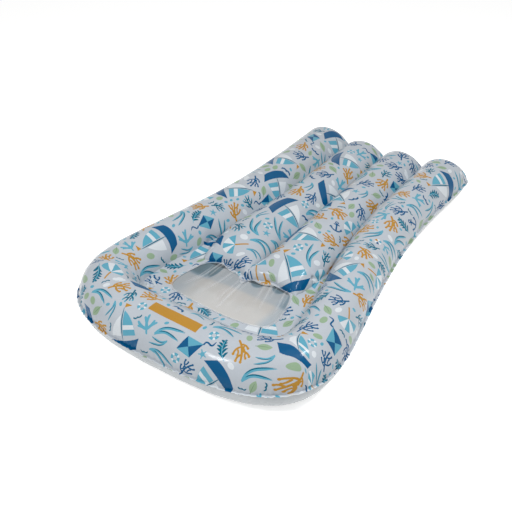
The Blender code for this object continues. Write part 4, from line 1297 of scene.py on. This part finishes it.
def window_film():
    """The clear film; its zones are the weld's lap, the painted shade and the painted highlights."""
    outer = clear_line()
    spots = spots_over((-0.16, -0.395), (0.16, -0.22), WINDOW_STEPS)
    spots = spots[inside(spots, HOLE)]
    away = away_from(spots, HOLE)
    spots, away = spots[away > WINDOW_STEPS[0]], away[away > WINDOW_STEPS[0]]
    loops = [range(len(outer)), range(len(outer), len(outer) + len(HOLE))]
    points, triangles, sources, within = triangulated(np.concatenate([outer, HOLE, spots]), loops)
    edge = np.concatenate([np.zeros(len(outer) + len(HOLE)), away])[[s[0] for s in sources]]
    x, y = points[:, 0], points[:, 1]
    kept = np.array([bool(w) for w in within])
    triangles = triangles[kept]
    obj = mesh_object("window_film", np.column_stack([points, window_height(x, y, edge)]).tolist(),
                      triangles.tolist())
    zones = np.zeros((len(triangles), 3, 4))
    zones[..., 0] = np.array([1 not in w for w in within])[kept, None]
    # Channels: the weld's lap, the painted shade of the tubes, and the painted highlights on the wrinkles
    zones[..., 1], zones[..., 2] = painted_tube_shade(x, y)[triangles], painted_wrinkle_highlight(x, y)[triangles]
    paint(obj, "zones", zones)
    return obj


window = window_film()
window.data.materials.append(window_finish())
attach(window, "mattress")
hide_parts("window_sheet")


# Valves: the parts of soft vinyl that stretch are drawn finer than the solid ones

SLEEVE_TURNS, SLEEVE_STEP, STRAP_STEPS = 64, 0.0009, 28
STRAP_LOW = GAP + STEM_RIM_THICKNESS / 2
STRAP_HIGH = 2 * GAP + STEM_RIM_THICKNESS + PLUG_HEAD_THICKNESS / 2


def piece(name, points, faces, place):
    obj = mesh_object(name, [place @ Vector(p) for p in points], faces)
    obj.data.set_sharp_from_angle(angle=radians(40))
    return obj


def sleeve(prefix, place):
    outside, inner = LIP_RADIUS - LIP_WALL - GAP, BEAD_RADIUS + GAP
    top_edge, low = GAP + VALVE_FLANGE_THICKNESS, -BEAD_DEPTH
    corners = [(outside - SLEEVE_WALL, top_edge), (inner, low + BEAD_THICKNESS), (inner, low),
               (inner + SLEEVE_WALL, low), (outside, 0.0), (outside, top_edge)]
    profile = []
    for p, q in zip(corners, corners[1:] + corners[:1]):
        steps = max(1, int(np.hypot(q[0] - p[0], q[1] - p[1]) / SLEEVE_STEP))
        profile += [(p[0] + (q[0] - p[0]) * k / steps, p[1] + (q[1] - p[1]) * k / steps)
                    for k in range(steps)]
    count = len(profile)
    points = [(r * cos(2 * pi * i / SLEEVE_TURNS), r * sin(2 * pi * i / SLEEVE_TURNS), z)
              for i in range(SLEEVE_TURNS) for r, z in profile]
    faces = []
    for i in range(SLEEVE_TURNS):
        here, there = i * count, (i + 1) % SLEEVE_TURNS * count
        faces += [(there + k, there + (k + 1) % count, here + (k + 1) % count, here + k)
                  for k in range(count)]
    return piece(prefix + "_sleeve_film", points, faces, place)


def strap(prefix, place):
    start, middle_height = STEM_RIM_RADIUS + GAP, (STRAP_LOW + STRAP_HIGH) / 2
    radius, half = (STRAP_HIGH - STRAP_LOW) / 2, STRAP_THICKNESS / 2
    path = [(start, STRAP_HIGH, pi / 2)]
    for k in range(STRAP_STEPS + 1):
        angle = pi / 2 - pi * k / STRAP_STEPS
        path.append((start + STRAP_REACH + radius * cos(angle), middle_height + radius * sin(angle), angle))
    path.append((start, STRAP_LOW, -pi / 2))
    points = [(x * STRAP_WIDTH / 2, r + out * half * cos(angle), z + out * half * sin(angle))
              for r, z, angle in path for x, out in ((-1, -1), (1, -1), (1, 1), (-1, 1))]
    faces = [(4 * i + k, 4 * i + (k + 1) % 4, 4 * i + 4 + (k + 1) % 4, 4 * i + 4 + k)
             for i in range(len(path) - 1) for k in range(4)]
    faces += [(3, 2, 1, 0), tuple(4 * (len(path) - 1) + k for k in range(4))]
    return piece(prefix + "_strap_band", points, faces, place)


white = valve_finish("valve_white", linear(232, 234, 236), 0.36, 0.15)
soft_clear = valve_finish("valve_clear", linear(214, 222, 228), 0.30, 0.3)
for name, obj in frame["nodes"].items():
    if "valve" in name:
        obj.data.materials.clear()
        obj.data.materials.append(soft_clear if name.endswith("flap") else white)
for prefix, place in VALVES.items():
    film = sleeve(prefix, place)
    film.data.materials.append(soft_clear)
    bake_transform(film)
    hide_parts(prefix + "_valve_sleeve")
    band = strap(prefix, place)
    band.data.materials.append(white)
    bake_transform(band)
    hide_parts(prefix + "_valve_strap")


# Floor, light and camera

FLOOR_REACH, FLOOR_HEIGHT = 14.0, -0.0006
ELEVATION, AZIMUTH, ROLL = radians(34.58), radians(33.60), radians(0.36)
AIM, DISTANCE = (-0.0941, -0.0493, 0.0), 2.081
LENS, SENSOR = 51.33, 36.0


def seen(tree):
    """One for rays that show the background: from the camera, mirrored or through clear stuff."""
    path = node(tree, "LightPath")
    either = math(tree, "MAXIMUM", path["Is Camera Ray"], path["Is Glossy Ray"])
    return math(tree, "MAXIMUM", either, path["Is Transmission Ray"])


def floor():
    corners = [(x * FLOOR_REACH, y * FLOOR_REACH, 0) for x, y in ((-1, -1), (1, -1), (1, 1), (-1, 1))]
    obj = mesh_object("floor", corners, [(0, 1, 2, 3)])
    obj.location.z = FLOOR_HEIGHT
    made, tree, surface = material("floor")
    feed(tree, surface, {
        "Base Color": (0.88, 0.88, 0.87, 1), "Roughness": 0.9, "Specular IOR Level": 0.0,
        "Emission Color": (1, 1, 1, 1), "Emission Strength": ranged(tree, seen(tree), 0.0, 0.60, 0, 1)})
    obj.data.materials.append(made)


def area_light(name, place, target, size, power):
    data = bpy.data.lights.new(name, "AREA")
    data.shape = "RECTANGLE"
    data.size, data.size_y = size
    data.energy = power
    obj = placed(name, data)
    obj.location = place
    obj.rotation_mode = "QUATERNION"
    obj.rotation_quaternion = (Vector(target) - Vector(place)).to_track_quat("-Z", "Y")


def world():
    made = bpy.data.worlds.new("studio")
    bpy.context.scene.world = made
    made.use_nodes = True
    tree = made.node_tree
    feed(tree, tree.nodes["Background"], {
        "Color": (1, 1, 1, 1), "Strength": ranged(tree, seen(tree), 0.38, 1.0, 0, 1)})


def camera():
    back = Vector((sin(AZIMUTH) * cos(ELEVATION), -cos(AZIMUTH) * cos(ELEVATION), sin(ELEVATION)))
    right = Vector((cos(AZIMUTH), sin(AZIMUTH), 0))
    up = back.cross(right)
    turn = Matrix((right * cos(ROLL) + up * sin(ROLL), up * cos(ROLL) - right * sin(ROLL), back))
    data = bpy.data.cameras.new("camera")
    data.lens, data.sensor_width = LENS, SENSOR
    obj = placed("camera", data)
    obj.matrix_world = Matrix.Translation(Vector(AIM) + back * DISTANCE) @ turn.transposed().to_4x4()
    bpy.context.scene.camera = obj


floor()
world()
area_light("key", (0.62, -0.50, 2.45), (0.05, -0.25, 0), (1.7, 1.7), 12.2)
area_light("front", (-0.344, -1.764, 1.649), (0.156, -0.564, 0.129), (0.36, 0.23), 13)
area_light("side", (1.182, 0.161, 1.818), (0.302, -0.459, 0.138), (0.33, 0.26), 12.5)
camera()
bpy.context.scene.view_settings.view_transform = "Standard"
